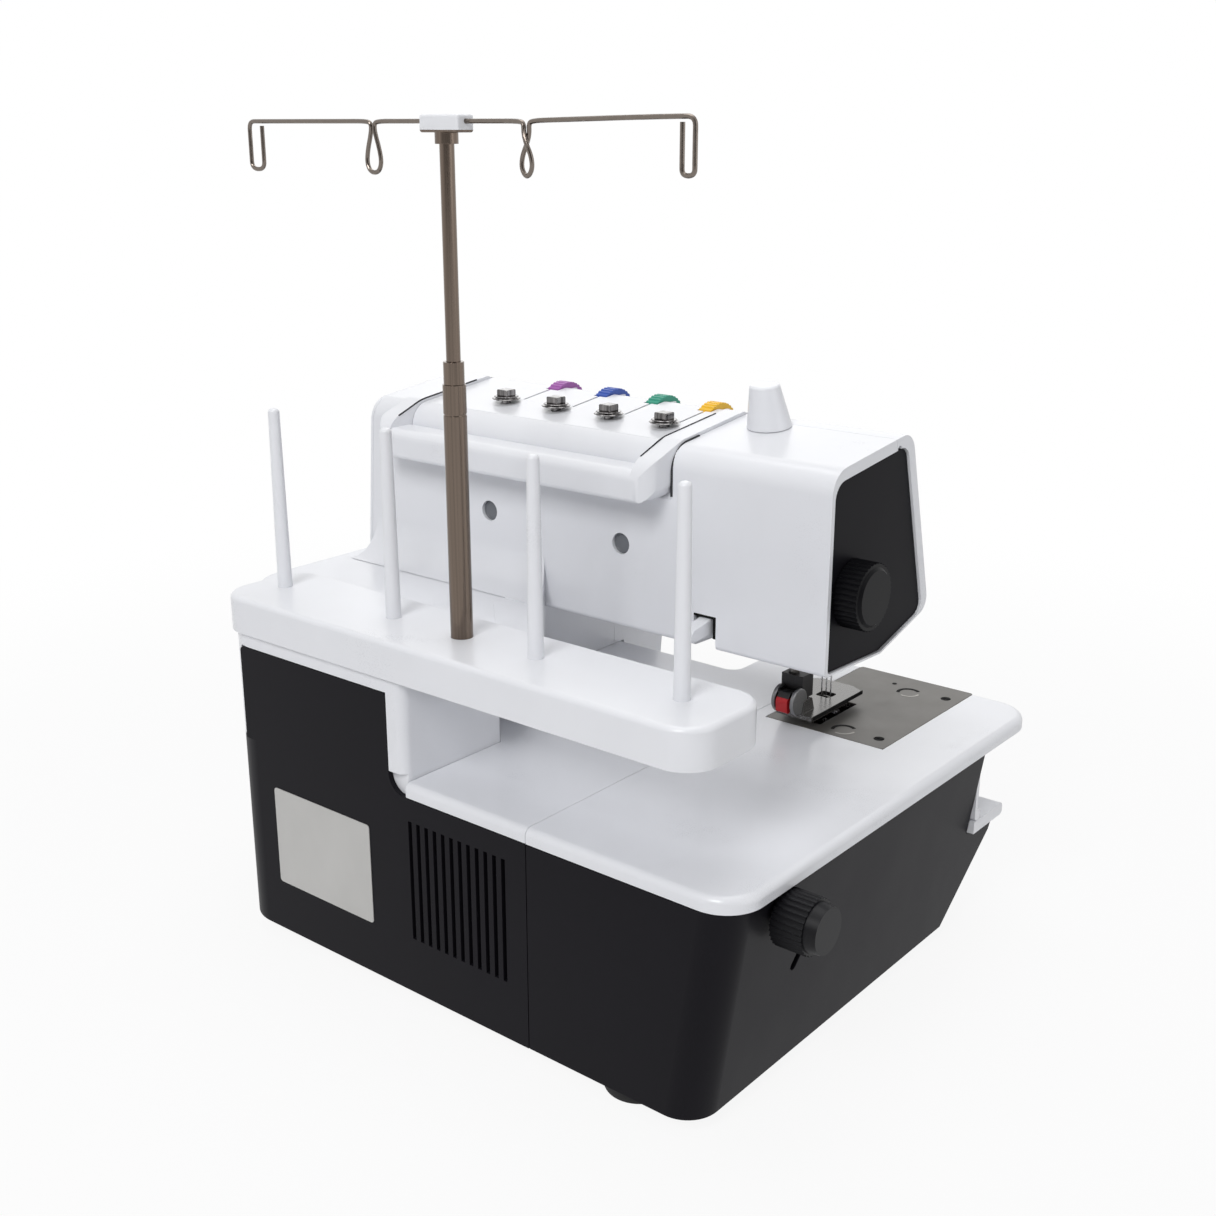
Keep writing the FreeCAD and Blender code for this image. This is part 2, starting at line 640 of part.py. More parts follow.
def bed_outline():
    """Corner points and radii of the whole white bed in plan."""
    points = [(BED_LEFT, 0), (BLOCK_LEFT - GAP, 0), (BLOCK_LEFT - GAP, BLOCK_STEP_Y), (TOWER_LEFT - GAP, BLOCK_WAIST_Y),
              (TOWER_LEFT - GAP, WALL_Y - GAP), (BASE_RIGHT - BED_INSET, WALL_Y - GAP), (BASE_RIGHT - BED_INSET, FRONT_Y),
              (TONGUE_RIGHT, FRONT_Y), (TONGUE_RIGHT, BED_FRONT_Y), (BED_LEFT, BED_FRONT_Y)]
    return points, [BASE_CORNER_R - BED_LEFT + BASE_LEFT, 0, 0, 0, 0, 0, 0, TONGUE_ROOT_R, TONGUE_R, BED_CORNER_R]


def beds():
    """White bed in two mouldings with a turned-down lip, and the steel needle plate."""
    points, radii = bed_outline()
    solid = prism("XY", points, radii, LIP_Z, BED_TOP)
    rims = [edge for edge in solid.Edges if abs(edge.BoundBox.ZMin - BED_TOP) < 1e-6
            and abs(edge.BoundBox.ZMax - BED_TOP) < 1e-6 and edge.BoundBox.XMin < TONGUE_RIGHT + GAP
            and edge.BoundBox.XMax < BLOCK_LEFT]
    solid = solid.makeFillet(BED_EDGE_R, rims)
    under = inset_prism("XY", points, radii, BASE_WALL + 1.5, LIP_Z - 1, BED_TOP - BED_SKIN)
    tower_hole = box((TOWER_LEFT + 8, BASE_RIGHT - 8), (FRONT_Y + 6, WALL_Y - 8), (LIP_Z - 1, BED_TOP + 1))
    solid = solid.cut([under, tower_hole])
    seat = box((PLATE_LEFT - GAP, PLATE_RIGHT + GAP), (BED_FRONT_Y - 5, PLATE_REAR_Y + GAP),
               (BED_TOP - PLATE_THICK - GAP / 3, BED_TOP + 5))
    well = box((PLATE_LEFT + 4, PLATE_RIGHT - 4), (FEED_Y[0] - FEED_TRAVEL - 2, PLATE_REAR_Y - 4), (LIP_Z - 1, BED_TOP + 1))
    shelf = box((PLATE_LEFT - 2, PLATE_RIGHT + 2), (PLATE_FRONT_Y + 3, PLATE_REAR_Y + 2),
                (LIP_Z + 1, BED_TOP - PLATE_THICK - GAP / 3))
    left = solid.common(box((-FAR, SEAM_X - SEAM / 2), (-FAR, FAR), (0, FAR)))
    left = fuse([left.cut(seat), shelf]).cut([seat, well])
    screw_holes = [rod("XY", 2.0, PLATE_SCREW_X, y, LIP_Z, BED_TOP) for y in PLATE_SCREW_Y]
    left = left.cut(screw_holes)
    right = solid.common(box((SEAM_X + SEAM / 2, FAR), (-FAR, FAR), (0, FAR)))
    return {"bed_left": left, "bed_right": right}


def needle_plate():
    """Steel plate with feed slots and needle slot, and its two countersunk screws."""
    low = BED_TOP - PLATE_THICK
    plate = prism("XY", [(PLATE_LEFT, PLATE_REAR_Y), (PLATE_RIGHT, PLATE_REAR_Y), (PLATE_RIGHT, PLATE_FRONT_Y),
                         (PLATE_LEFT, PLATE_FRONT_Y)], [2, 2, 2, 2], low, BED_TOP)
    slots = [box((x - GAP * 2, x + FEED_WIDTH + GAP * 2), (FEED_Y[0] - FEED_TRAVEL - 1, FEED_Y[1] + FEED_TRAVEL + 1),
                 (low - 1, BED_TOP + 1)) for x in FEED_X]
    slots.append(prism("XY", needle_slot(4.2, 2.4), 2.2, low - 1, BED_TOP + 1))
    screws = []
    for y in PLATE_SCREW_Y:
        slots.append(cone("XY", 2.0, PLATE_SCREW_R + SNUG, PLATE_SCREW_X, y, low - SNUG, BED_TOP + SNUG))
        head = cone("XY", 2.0 - SNUG, PLATE_SCREW_R, PLATE_SCREW_X, y, low, BED_TOP)
        shank = rod("XY", 2.0 - SNUG, PLATE_SCREW_X, y, low - 4, low)
        slot = box((PLATE_SCREW_X - 3.2, PLATE_SCREW_X + 3.2), (y - 0.4, y + 0.4), (BED_TOP - 0.9, BED_TOP + 1))
        screws.append(fuse([head, shank]).cut(slot))
    return {"needle_plate": plate.cut(slots), "plate_screws": Part.makeCompound(screws)}


def needle_slot(half_x, half_y):
    """Corner points of the slot around the needles."""
    return [(NEEDLE_X - half_x, NEEDLE_Y - half_y), (NEEDLE_X + half_x, NEEDLE_Y - half_y),
            (NEEDLE_X + half_x, NEEDLE_Y + half_y), (NEEDLE_X - half_x, NEEDLE_Y + half_y)]


def tower_base():
    """White block behind the tower that carries the spool stand."""
    points = [(BLOCK_LEFT, 0), (REAR_CORNER_X, 0), (BASE_RIGHT, -REAR_CHAMFER_DEPTH), (BASE_RIGHT, WALL_Y + GAP),
              (TOWER_LEFT, WALL_Y + GAP), (TOWER_LEFT, BLOCK_WAIST_Y), (BLOCK_LEFT, BLOCK_STEP_Y)]
    radii = [BLOCK_CORNER_R, CHAMFER_R, CHAMFER_R, 0, 0, 0, 0]
    block = prism("XY", points, radii, LIP_Z, BLOCK_TOP)
    rear = -TAB_DEPTH - GAP - CASE_WALL
    hollow = [(BLOCK_LEFT + CASE_WALL, rear), (REAR_CORNER_X - CASE_WALL, rear),
              (BASE_RIGHT - CASE_WALL, -REAR_CHAMFER_DEPTH - CASE_WALL), (BASE_RIGHT - CASE_WALL, WALL_Y - 5),
              (TOWER_LEFT + CASE_WALL, WALL_Y - 5), (TOWER_LEFT + CASE_WALL, BLOCK_WAIST_Y + CASE_WALL / 2),
              (BLOCK_LEFT + CASE_WALL, BLOCK_STEP_Y + CASE_WALL / 2)]
    pocket = prism("XY", hollow, 0, LIP_Z - 1, BLOCK_TOP - BLOCK_SKIN)
    recess = box((TAB_LEFT - GAP, TAB_RIGHT + GAP), (-TAB_DEPTH - GAP, 5), (LIP_Z - 1, TAB_TOP + GAP))
    corner = box((TAB_LEFT - TAB_CORNER_R - GAP, TAB_LEFT), (-TAB_DEPTH - GAP, 5), (LIP_Z - 1, LIP_Z + TAB_CORNER_R + GAP))
    return {"tower_base_cover": block.cut([pocket, recess, corner])}


def spool_stand():
    """Hollow white shelf with four tapered spool pins."""
    points = [(STAND_LEFT, STAND_FRONT_Y), (STAND_RIGHT, STAND_FRONT_Y), (STAND_RIGHT, STAND_REAR_Y),
              (STAND_LEFT, STAND_REAR_Y)]
    shelf = prism("XY", points, STAND_CORNER_R, BLOCK_TOP, STAND_TOP)
    edges = [edge for edge in shelf.Edges if abs(edge.BoundBox.ZMin - STAND_TOP) < 1e-6
             and abs(edge.BoundBox.ZMax - STAND_TOP) < 1e-6]
    shelf = shelf.makeFillet(3.0, edges)
    shelf = shelf.cut(inset_prism("XY", points, STAND_CORNER_R, STAND_WALL, BLOCK_TOP - 1, STAND_TOP - STAND_WALL))
    bosses = [rod("XY", TUBE_R + 3, POLE_X, POLE_Y, BLOCK_TOP, STAND_TOP - 1)]
    holes = [rod("XY", TUBE_R + SNUG, POLE_X, POLE_Y, BLOCK_TOP + STAND_WALL, STAND_TOP + 1)]
    pins = []
    for offset in SPOOL_PIN_OFFSETS:
        x = POLE_X + offset
        bosses.append(rod("XY", SPOOL_PIN_BASE_R + 2.5, x, POLE_Y, BLOCK_TOP, STAND_TOP - 1))
        holes.append(rod("XY", SPOOL_PIN_BASE_R + SNUG, x, POLE_Y, BLOCK_TOP + STAND_WALL, STAND_TOP + 1))
        taper = cone("XY", SPOOL_PIN_BASE_R, SPOOL_PIN_TOP_R, x, POLE_Y, STAND_TOP, STAND_TOP + SPOOL_PIN_HEIGHT)
        crown = taper.Edges
        taper = taper.makeFillet(2.2, [e for e in crown if e.BoundBox.ZMin > STAND_TOP + SPOOL_PIN_HEIGHT - 1e-3])
        root = rod("XY", SPOOL_PIN_BASE_R, x, POLE_Y, BLOCK_TOP + STAND_WALL, STAND_TOP)
        pins.append(fuse([taper, root]))
    shelf = fuse([shelf] + bosses).cut(holes)
    return {"spool_stand": shelf, "spool_pins": Part.makeCompound(pins)}


def pole():
    """Telescopic thread pole: fixed tube, reducing ferrule and sliding rod."""
    low = BLOCK_TOP + STAND_WALL
    tube = rod("XY", TUBE_R, POLE_X, POLE_Y, low, TUBE_TOP_Z)
    tube = tube.cut(rod("XY", TUBE_BORE_R, POLE_X, POLE_Y, low - 1, TUBE_TOP_Z + 1))
    groove = rod("XY", TUBE_R + 1, POLE_X, POLE_Y, TUBE_RING_Z, TUBE_RING_Z + 0.8)
    tube = tube.cut(groove.cut(rod("XY", TUBE_R - 0.35, POLE_X, POLE_Y, TUBE_RING_Z - 1, TUBE_RING_Z + 2)))
    ferrule = fuse([rod("XY", TUBE_BORE_R - SNUG, POLE_X, POLE_Y, TUBE_TOP_Z - FERRULE_DEPTH, TUBE_TOP_Z),
                    rod("XY", TUBE_BORE_R + 0.4, POLE_X, POLE_Y, TUBE_TOP_Z, FERRULE_TOP_Z)])
    ferrule = ferrule.cut(rod("XY", ROD_R + RUN, POLE_X, POLE_Y, low, FERRULE_TOP_Z + 1))
    slider = fuse([rod("XY", ROD_R, POLE_X, POLE_Y, ROD_FOOT_Z, ROD_TOP_Z),
                   rod("XY", TUBE_BORE_R - RUN, POLE_X, POLE_Y, ROD_FOOT_Z, ROD_FOOT_Z + 8)])
    return {"pole_tube": tube, "pole_ferrule": ferrule, "pole_rod": slider}


def hanging_loop(x, pointed):
    """Eyelet bent from the yoke wire: two legs and a round end below."""
    low = WIRE_Z - LOOP_HEIGHT
    end_z = low + LOOP_HALF_WIDTH
    half = LOOP_HALF_WIDTH
    lean = half - LOOP_NECK if pointed else 0.0
    pieces = []
    for side in (-1, 1):
        foot = Vector(x + side * half, POLE_Y, end_z)
        head = Vector(x + side * (half - lean), POLE_Y, WIRE_Z)
        run = head - foot
        pieces.append(Part.makeCylinder(WIRE_R, run.Length, foot, run))
        pieces.append(Part.makeSphere(WIRE_R, foot))
    middle = Vector(x, POLE_Y, end_z)
    section = Part.Face(Part.Wire(Part.makeCircle(WIRE_R, middle + Vector(half, 0, 0), Vector(0, 0, 1))))
    bend = section.revolve(middle, Vector(0, 1, 0), 180)
    return pieces + [bend]


def yoke():
    """Clip on the rod's top and the bent wire with four hanging eyelets."""
    clip = box((POLE_X - CLIP_LENGTH / 2, POLE_X + CLIP_LENGTH / 2), (POLE_Y - CLIP_WIDTH / 2, POLE_Y + CLIP_WIDTH / 2),
               (WIRE_Z - CLIP_DROP, WIRE_Z + CLIP_COVER))
    clip = clip.makeFillet(CLIP_EDGE_R, clip.Edges)
    socket_low = ROD_TOP_Z - SOCKET_DEPTH
    socket = rod("XY", ROD_R + SOCKET_WALL, POLE_X, POLE_Y, socket_low, ROD_TOP_Z)
    clip = fuse([clip, socket]).cut(rod("XY", ROD_R + RUN, POLE_X, POLE_Y, socket_low - 1, ROD_TOP_Z + RUN))
    clip = clip.cut(rod("YZ", WIRE_R + SNUG, POLE_Y, WIRE_Z, -FAR, FAR))
    wire = [rod("YZ", WIRE_R, POLE_Y, WIRE_Z, POLE_X - WIRE_HALF, POLE_X + WIRE_HALF)]
    for offset in LOOP_OFFSETS:
        wire += hanging_loop(POLE_X + offset, abs(offset) < WIRE_HALF / 2)
    ends = [Part.makeSphere(WIRE_R, Vector(POLE_X + side * WIRE_HALF, POLE_Y, WIRE_Z)) for side in (-1, 1)]
    return {"yoke_clip": clip, "yoke_wire": fuse(wire + ends)}


ARM_OUTLINE = [(WALL_Y, ARM_BOTTOM), (WALL_Y, TOP_REAR_Z), (TOP_FRONT_Y, TOP_FRONT_Z), (CHIN_Y, CHIN_Z), (JAW_Y, JAW_Z)]
ARM_R = [3.0, 14.0, 12.0, 9.0, 6.0]
PANEL_R = [3.0, 10.0, 8.0, 8.0, 6.0]
TOWER_OUTLINE = [(WALL_Y, BED_TOP + GAP), (WALL_Y, TOP_REAR_Z), (TOP_FRONT_Y, TOP_FRONT_Z), (TOWER_TOE_Y, TOWER_TOE_Z),
                 (LEDGE_FRONT_Y + 1, LEDGE_TOP + GAP), (FRONT_Y - GAP, LEDGE_TOP + GAP), (FRONT_Y - GAP, BED_TOP + GAP)]
TOWER_R = [0.0, 14.0, 12.0, 8.0, 3.0, 0.0, 0.0]


def lean_side(shift):
    """Everything left of the leaning right end, moved left by a shift."""
    return prism("XZ", [(-FAR, 0), (TOWER_RIGHT_LOW - shift, 0), (TOWER_RIGHT_LOW - shift, LEDGE_TOP),
                        (TOWER_RIGHT_TOP - shift, TOP_FRONT_Z + 2), (TOWER_RIGHT_TOP - shift, FAR), (-FAR, FAR)],
                 0, -FAR, FAR)


def casing():
    """Hollow arm, head and tower before they are split into covers."""
    right = TOWER_RIGHT_LOW
    arm = prism("YZ", ARM_OUTLINE, ARM_R, HEAD_LEFT, TOWER_LEFT)
    arm_hollow = inset_prism("YZ", ARM_OUTLINE, ARM_R, CASE_WALL, HEAD_LEFT - 1, TOWER_LEFT + CASE_WALL + 1)
    tower = prism("YZ", TOWER_OUTLINE, TOWER_R, TOWER_LEFT, right)
    tower_hollow = inset_prism("YZ", TOWER_OUTLINE, TOWER_R, CASE_WALL, TOWER_LEFT + CASE_WALL, right + 1)
    floor_gap = box((TOWER_LEFT + 8, right), (FRONT_Y + 6, WALL_Y - 8), (BED_TOP - 5, BED_TOP + 8))
    rim = prism("YZ", ARM_OUTLINE, ARM_R, HEAD_LEFT, HEAD_LEFT + RIM_DEPTH)
    rim = rim.cut(panel_prism(PANEL_LEDGE, HEAD_LEFT - 1, HEAD_LEFT + RIM_DEPTH + 1))
    recess = panel_prism(0, HEAD_LEFT - 1, HEAD_LEFT + PANEL_RECESS + PANEL_THICK + GAP / 3)
    shell = arm.fuse(tower).cut([arm_hollow, tower_hollow, floor_gap])
    shell = fuse([shell, rim]).cut(recess)
    return shell.common(lean_side(CASE_WALL + SEAM))


def shrunk(points, insets):
    """Corner points of an outline whose edges have each moved inwards by an inset of their own."""
    middle = sum((Vector(*point, 0) for point in points), Vector(0, 0, 0)) * (1 / len(points))
    lines = []
    for index, inset in enumerate(insets):
        start = Vector(*points[index], 0)
        run = Vector(*points[(index + 1) % len(points)], 0) - start
        inward = Vector(-run.y, run.x, 0)
        if inward.dot(middle - start) < 0:
            inward = inward * -1
        lines.append((start + inward * (inset / inward.Length), run))
    corners = []
    for index, (start, run) in enumerate(lines):
        before, along_before = lines[index - 1]
        cross = along_before.x * run.y - along_before.y * run.x
        gap = start - before
        share = (gap.x * run.y - gap.y * run.x) / cross
        spot = before + along_before * share
        corners.append((spot.x, spot.y))
    return corners


def panel_prism(inset, low, high):
    """Room of the face panel inside the head's rim, shrunk by an inset."""
    rims = (RIM_REAR, RIM_TOP, RIM_FRONT, RIM_LOW, RIM_LOW)
    return inset_prism("YZ", shrunk(ARM_OUTLINE, rims), PANEL_R, inset, low, high)


def handle_outline():
    """Side view of one handle arm, from the grip over the rear edge to the pivot."""
    front = HANDLE_PIVOT_Y - 6.0
    return [(GRIP_REAR_Y, GRIP_LOW_Z), (GRIP_REAR_Y, GRIP_TOP_Z + 3), (WALL_Y - 10, top_z(WALL_Y - 10) + 2),
            (front, top_z(front) + 2), (front, HANDLE_PIVOT_Z - 5), (WALL_Y - 15, TOP_REAR_Z - 7),
            (WALL_Y + GAP * 2, GRIP_LOW_Z)]


HANDLE_R = [3.0, 15.0, 14.0, 5.0, 5.0, 9.0, 2.0]


def arm_spans():
    """Left and right X limits of the two handle arms."""
    return ((HANDLE_X[0], HANDLE_X[0] + HANDLE_ARM_WIDTH), (HANDLE_X[1] - HANDLE_ARM_WIDTH, HANDLE_X[1]))


def handle_slots():
    """Room that the handle arms and their pivots take out of the casing."""
    slots = []
    for low, high in arm_spans():
        slots.append(inset_prism("YZ", handle_outline(), HANDLE_R, -2 * GAP, low - GAP, high + GAP))
        slots.append(rod("YZ", HANDLE_PIVOT_ROOM, HANDLE_PIVOT_Y, HANDLE_PIVOT_Z, low - GAP, high + GAP))
    return slots


def carry_handle():
    """U-shaped handle folded back on the rear edge, and its two pivot pins."""
    arms = [prism("YZ", handle_outline(), HANDLE_R, low, high) for low, high in arm_spans()]
    grip_points = [(GRIP_REAR_Y, GRIP_LOW_Z), (GRIP_REAR_Y, GRIP_TOP_Z), (WALL_Y + 2 * GAP, GRIP_TOP_Z),
                   (WALL_Y + 2 * GAP, GRIP_LOW_Z)]
    grip = prism("YZ", grip_points, [3.0, 6.0, 2.0, 2.0], HANDLE_X[0], HANDLE_X[1])
    hollow = prism("YZ", [(GRIP_REAR_Y - 4, GRIP_LOW_Z - 1), (GRIP_REAR_Y - 4, GRIP_TOP_Z - 4),
                          (WALL_Y + 4, GRIP_TOP_Z - 4), (WALL_Y + 4, GRIP_LOW_Z - 1)], 0,
                   HANDLE_X[0] + HANDLE_ARM_WIDTH, HANDLE_X[1] - HANDLE_ARM_WIDTH)
    handle = fuse(arms + [grip.cut(hollow)])
    left, right = HANDLE_X
    corner = [HANDLE_CORNER_R, HANDLE_CORNER_R, 0, 0]
    rear_view = prism("XZ", [(left, GRIP_LOW_Z), (right, GRIP_LOW_Z), (right, FAR), (left, FAR)], corner, -FAR, FAR)
    plan = prism("XY", [(left, GRIP_REAR_Y), (right, GRIP_REAR_Y), (right, -FAR), (left, -FAR)], corner, 0, FAR)
    handle = handle.common(rear_view).common(plan)
    pins = []
    for low, high in arm_spans():
        middle = (low + high) / 2
        pins.append(rod("YZ", HANDLE_PIN_R, HANDLE_PIVOT_Y, HANDLE_PIVOT_Z, middle - HANDLE_PIN_LENGTH / 2,
                        middle + HANDLE_PIN_LENGTH / 2))
    handle = handle.cut(rod("YZ", HANDLE_PIN_R + RUN, HANDLE_PIVOT_Y, HANDLE_PIVOT_Z, 0, FAR))
    return {"carry_handle": handle, "handle_pins": Part.makeCompound(pins)}


def pin_boss(low, high):
    """Small block under the casing's top that holds one end of a handle pin."""
    block = box((low, high), (HANDLE_PIVOT_Y - 5, HANDLE_PIVOT_Y + 5),
                (HANDLE_PIVOT_Z - 4.5, top_z(HANDLE_PIVOT_Y + 5) - 1))
    return block


def dial_x(index):
    """X of the middle of a tension dial, counted from the head."""
    return DIAL_FIRST_X + DIAL_PITCH * index


def disc_x(index):
    """X of the middle of a thread guide disc, counted from the head."""
    return DISC_FIRST_X + DISC_PITCH * index


def top_cover_room(clear):
    """Space that the tension cover fills in the casing's top."""
    return box((COVER_X[0] - clear, COVER_X[1] + clear), (COVER_FRONT_Y - clear, COVER_REAR_Y + clear),
               (TOP_REAR_Z - 42, FAR))


def covers():
    """Rear, front, tension and right covers of the upper casing."""
    whole = casing()
    access = [rod("XZ", ACCESS_HOLE_R, x, z, WALL_Y - 6, WALL_Y + 6) for x, z in ACCESS_HOLES]
    mouth = box(MOUTH_X, MOUTH_Y, (JAW_Z - 10, ARM_BOTTOM + 14))
    notch = box(NOTCH_X, (MOUTH_Y[1] - 1, WALL_Y + 5), (JAW_Z - 10, NOTCH_TOP))
    slots = handle_slots()
    whole = whole.cut(access + [mouth, notch] + slots)
    room = top_cover_room(0)
    top_part = whole.common(room)
    body = whole.cut(top_cover_room(SEAM))
    ahead = prism("YZ", [(-FAR, 0), (SEAM_LOW_Y - SEAM / 2, 0), (SEAM_LOW_Y - SEAM / 2, SEAM_STEP_Z),
                         (SEAM_TOP_Y - SEAM / 2, SEAM_STEP_Z), (SEAM_TOP_Y - SEAM / 2, FAR), (-FAR, FAR)], 0, -FAR, FAR)
    behind = prism("YZ", [(FAR, 0), (SEAM_LOW_Y + SEAM / 2, 0), (SEAM_LOW_Y + SEAM / 2, SEAM_STEP_Z + SEAM),
                          (SEAM_TOP_Y + SEAM / 2, SEAM_STEP_Z + SEAM), (SEAM_TOP_Y + SEAM / 2, FAR), (FAR, FAR)],
                   0, -FAR, FAR)
    front = body.common(ahead)
    rear = body.common(behind)
    flare = box((TOWER_LEFT + 2, TOWER_RIGHT_TOP), (WALL_Y - 1, WALL_Y + FLARE_R),
                (BLOCK_TOP + GAP, BLOCK_TOP + GAP + FLARE_R))
    flare = flare.cut(rod("YZ", FLARE_R, WALL_Y + FLARE_R, BLOCK_TOP + GAP + FLARE_R, 0, FAR))
    low_span, high_span = arm_spans()
    outer_bosses = [pin_boss(low_span[0] - 7, low_span[0] - GAP), pin_boss(high_span[1] + GAP, high_span[1] + 7)]
    inner_bosses = [pin_boss(low_span[1] + GAP, low_span[1] + 7), pin_boss(high_span[0] - 7, high_span[0] - GAP)]
    knob_boss = knob_tilted(rod("XY", KNOB_STEM_R + 3, 0, 0, -8.0, -1.0))
    knob_hole = knob_tilted(rod("XY", KNOB_STEM_R + RUN, 0, 0, -12.0, 6.0))
    pin_bore = rod("YZ", HANDLE_PIN_R + SNUG, HANDLE_PIVOT_Y, HANDLE_PIVOT_Z, 0, FAR)
    rear = fuse([rear, flare, knob_boss]).cut(knob_hole)
    front = fuse([front] + [b.common(ahead) for b in outer_bosses]).cut(pin_bore)
    rear = fuse([rear] + [b.common(behind) for b in outer_bosses]).cut(pin_bore)
    wheel_room = []
    cheeks = []
    for index in range(len(DIAL_COLOURS)):
        x = dial_x(index)
        half = DIAL_WIDTH / 2 + 2 * GAP
        wheel_room.append(rod("YZ", DIAL_R + 2 * GAP, DIAL_Y, DIAL_Z, x - half, x + half))
        wheel_room.append(rod("YZ", DIAL_SHAFT_R + SNUG, DIAL_Y, DIAL_Z, x - half - 4, x + half + 4))
        for side in (-1, 1):
            near = x + side * half
            span = sorted((near, near + side * DIAL_CHEEK))
            cheeks.append(box(span, (DIAL_Y - 5, DIAL_Y + 5), (DIAL_Z - 5, top_z(DIAL_Y + 5) - 1)))
        slit_x = (disc_x(index) + x) / 2 - 3
        wheel_room.append(box((slit_x, slit_x + SLIT_WIDTH), (DIAL_Y + 2, DISC_Y - DISC_R - 1), (TOP_REAR_Z - 4, FAR)))
        wheel_room.append(rod("XY", DISC_STEM_R + SNUG, disc_x(index), DISC_Y, TOP_REAR_Z - DISC_STEM_ROOM, FAR))
    top = fuse([top_part] + cheeks + inner_bosses).cut(wheel_room + [pin_bore] + slots)
    end = prism("YZ", TOWER_OUTLINE, TOWER_R, TOWER_RIGHT_TOP - END_COVER_DEPTH, TOWER_RIGHT_LOW)
    end = end.common(lean_side(0)).cut(lean_side(CASE_WALL))
    return {"rear_cover": rear, "front_cover": front, "tension_cover": top, "right_cover": end}


def knob_tilted(shape):
    """Stand a shape made about the origin on the sloping top at the pressure knob."""
    lean = math.degrees(math.atan(TOP_SLOPE))
    shape = shape.copy()
    shape.rotate(Vector(0, 0, 0), Vector(1, 0, 0), -lean)
    shape.translate(Vector(KNOB_X, KNOB_Y, top_z(KNOB_Y)))
    return shape


def pressure_knob():
    """Tapered, slightly leaning presser-pressure knob on the head's top."""
    foot = Part.Wire(Part.makeCircle(KNOB_BASE_R, Vector(0, 0, GAP)))
    crown = Part.Wire(Part.makeCircle(KNOB_TOP_R, Vector(KNOB_LEAN_X, KNOB_LEAN_Y, KNOB_HEIGHT)))
    body = Part.makeLoft([foot, crown], True, True)
    body = body.makeFillet(KNOB_EDGE_R, [e for e in body.Edges if e.BoundBox.ZMin > KNOB_HEIGHT - 1e-3])
    stem = rod("XY", KNOB_STEM_R, 0, 0, -KNOB_STEM_LENGTH, GAP + 0.5)
    return {"pressure_knob": knob_tilted(fuse([body, stem]))}


def face_and_dials():
    """Dark face panel with its dial, and the dial on the base's left wall."""
    panel_x = HEAD_LEFT + PANEL_RECESS
    panel = panel_prism(GAP, panel_x, panel_x + PANEL_THICK)
    panel = panel.cut(rod("YZ", DIAL_STEM_R + RUN, FACE_DIAL_Y, FACE_DIAL_Z, 0, HEAD_LEFT + 20))
    back = panel_x - GAP
    face = ribbed("YZ", FACE_DIAL_R, FACE_DIAL_Y, FACE_DIAL_Z, back - FACE_DIAL_DEPTH, back, 40, RIB_DEPTH)
    crown = cone("YZ", FACE_DIAL_R - 4, FACE_DIAL_R - 2.5, FACE_DIAL_Y, FACE_DIAL_Z, back - FACE_DIAL_DEPTH - 1.5,
                 back - FACE_DIAL_DEPTH)
    stem = rod("YZ", DIAL_STEM_R, FACE_DIAL_Y, FACE_DIAL_Z, back, panel_x + PANEL_THICK + 4)
    side_back = BASE_LEFT - 2 * GAP
    nose = side_back - SIDE_DIAL_DEPTH
    side = ribbed("YZ", SIDE_DIAL_R, SIDE_DIAL_Y, SIDE_DIAL_Z, nose + 6, side_back, 30, RIB_DEPTH)
    side_nose = cone("YZ", SIDE_DIAL_NOSE_R - 1, SIDE_DIAL_NOSE_R, SIDE_DIAL_Y, SIDE_DIAL_Z, nose, nose + 6)
    side_stem = rod("YZ", DIAL_STEM_R, SIDE_DIAL_Y, SIDE_DIAL_Z, side_back, 8)
    return {"face_panel": panel, "face_dial": fuse([face, crown, stem]),
            "side_dial": fuse([side, side_nose, side_stem])}


def tension_units():
    """Four thumb-wheel tension dials on their shafts, and four chrome thread guide discs."""
    pieces = {}
    shafts = []
    discs = []
    for index, colour in enumerate(DIAL_COLOURS):
        x = dial_x(index)
        half = DIAL_WIDTH / 2
        wheel = ribbed("YZ", DIAL_R, DIAL_Y, DIAL_Z, x - half, x + half, 36, 0.5)
        pieces["tension_dial_" + colour] = wheel.cut(rod("YZ", DIAL_SHAFT_R + RUN, DIAL_Y, DIAL_Z, x - 20, x + 20))
        reach = half + 2 * GAP + DIAL_CHEEK
        shafts.append(rod("YZ", DIAL_SHAFT_R, DIAL_Y, DIAL_Z, x - reach, x + reach))
        surface = top_z(DISC_Y)
        stem = rod("XY", DISC_STEM_R, disc_x(index), DISC_Y, surface - 6, surface + 4)
        dish = cone("XY", DISC_R - 3, DISC_R, disc_x(index), DISC_Y, surface + 2.2, surface + 3.6)
        cap = rod("XY", DISC_CAP_R, disc_x(index), DISC_Y, surface + 3.6, surface + 3.6 + DISC_CAP_HEIGHT)
        cap = cap.makeFillet(1.2, [e for e in cap.Edges if e.BoundBox.ZMin > surface + 3.6 + DISC_CAP_HEIGHT - 1e-3])
        discs.append(fuse([stem, dish, cap]))
    pieces["tension_shafts"] = Part.makeCompound(shafts)
    pieces["thread_guide_discs"] = Part.makeCompound(discs)
    return pieces


def lug_plan():
    """Corner points of the head lugs in plan."""
    left = NEEDLE_X - LUG_HALF
    return [(left, LUG_FRONT_Y), (NEEDLE_X + LUG_HALF, LUG_FRONT_Y), (LUG_RIGHT, LUG_FRONT_Y + LUG_SLANT),
            (LUG_RIGHT, BEAM_Y[1]), (left, BEAM_Y[1])]


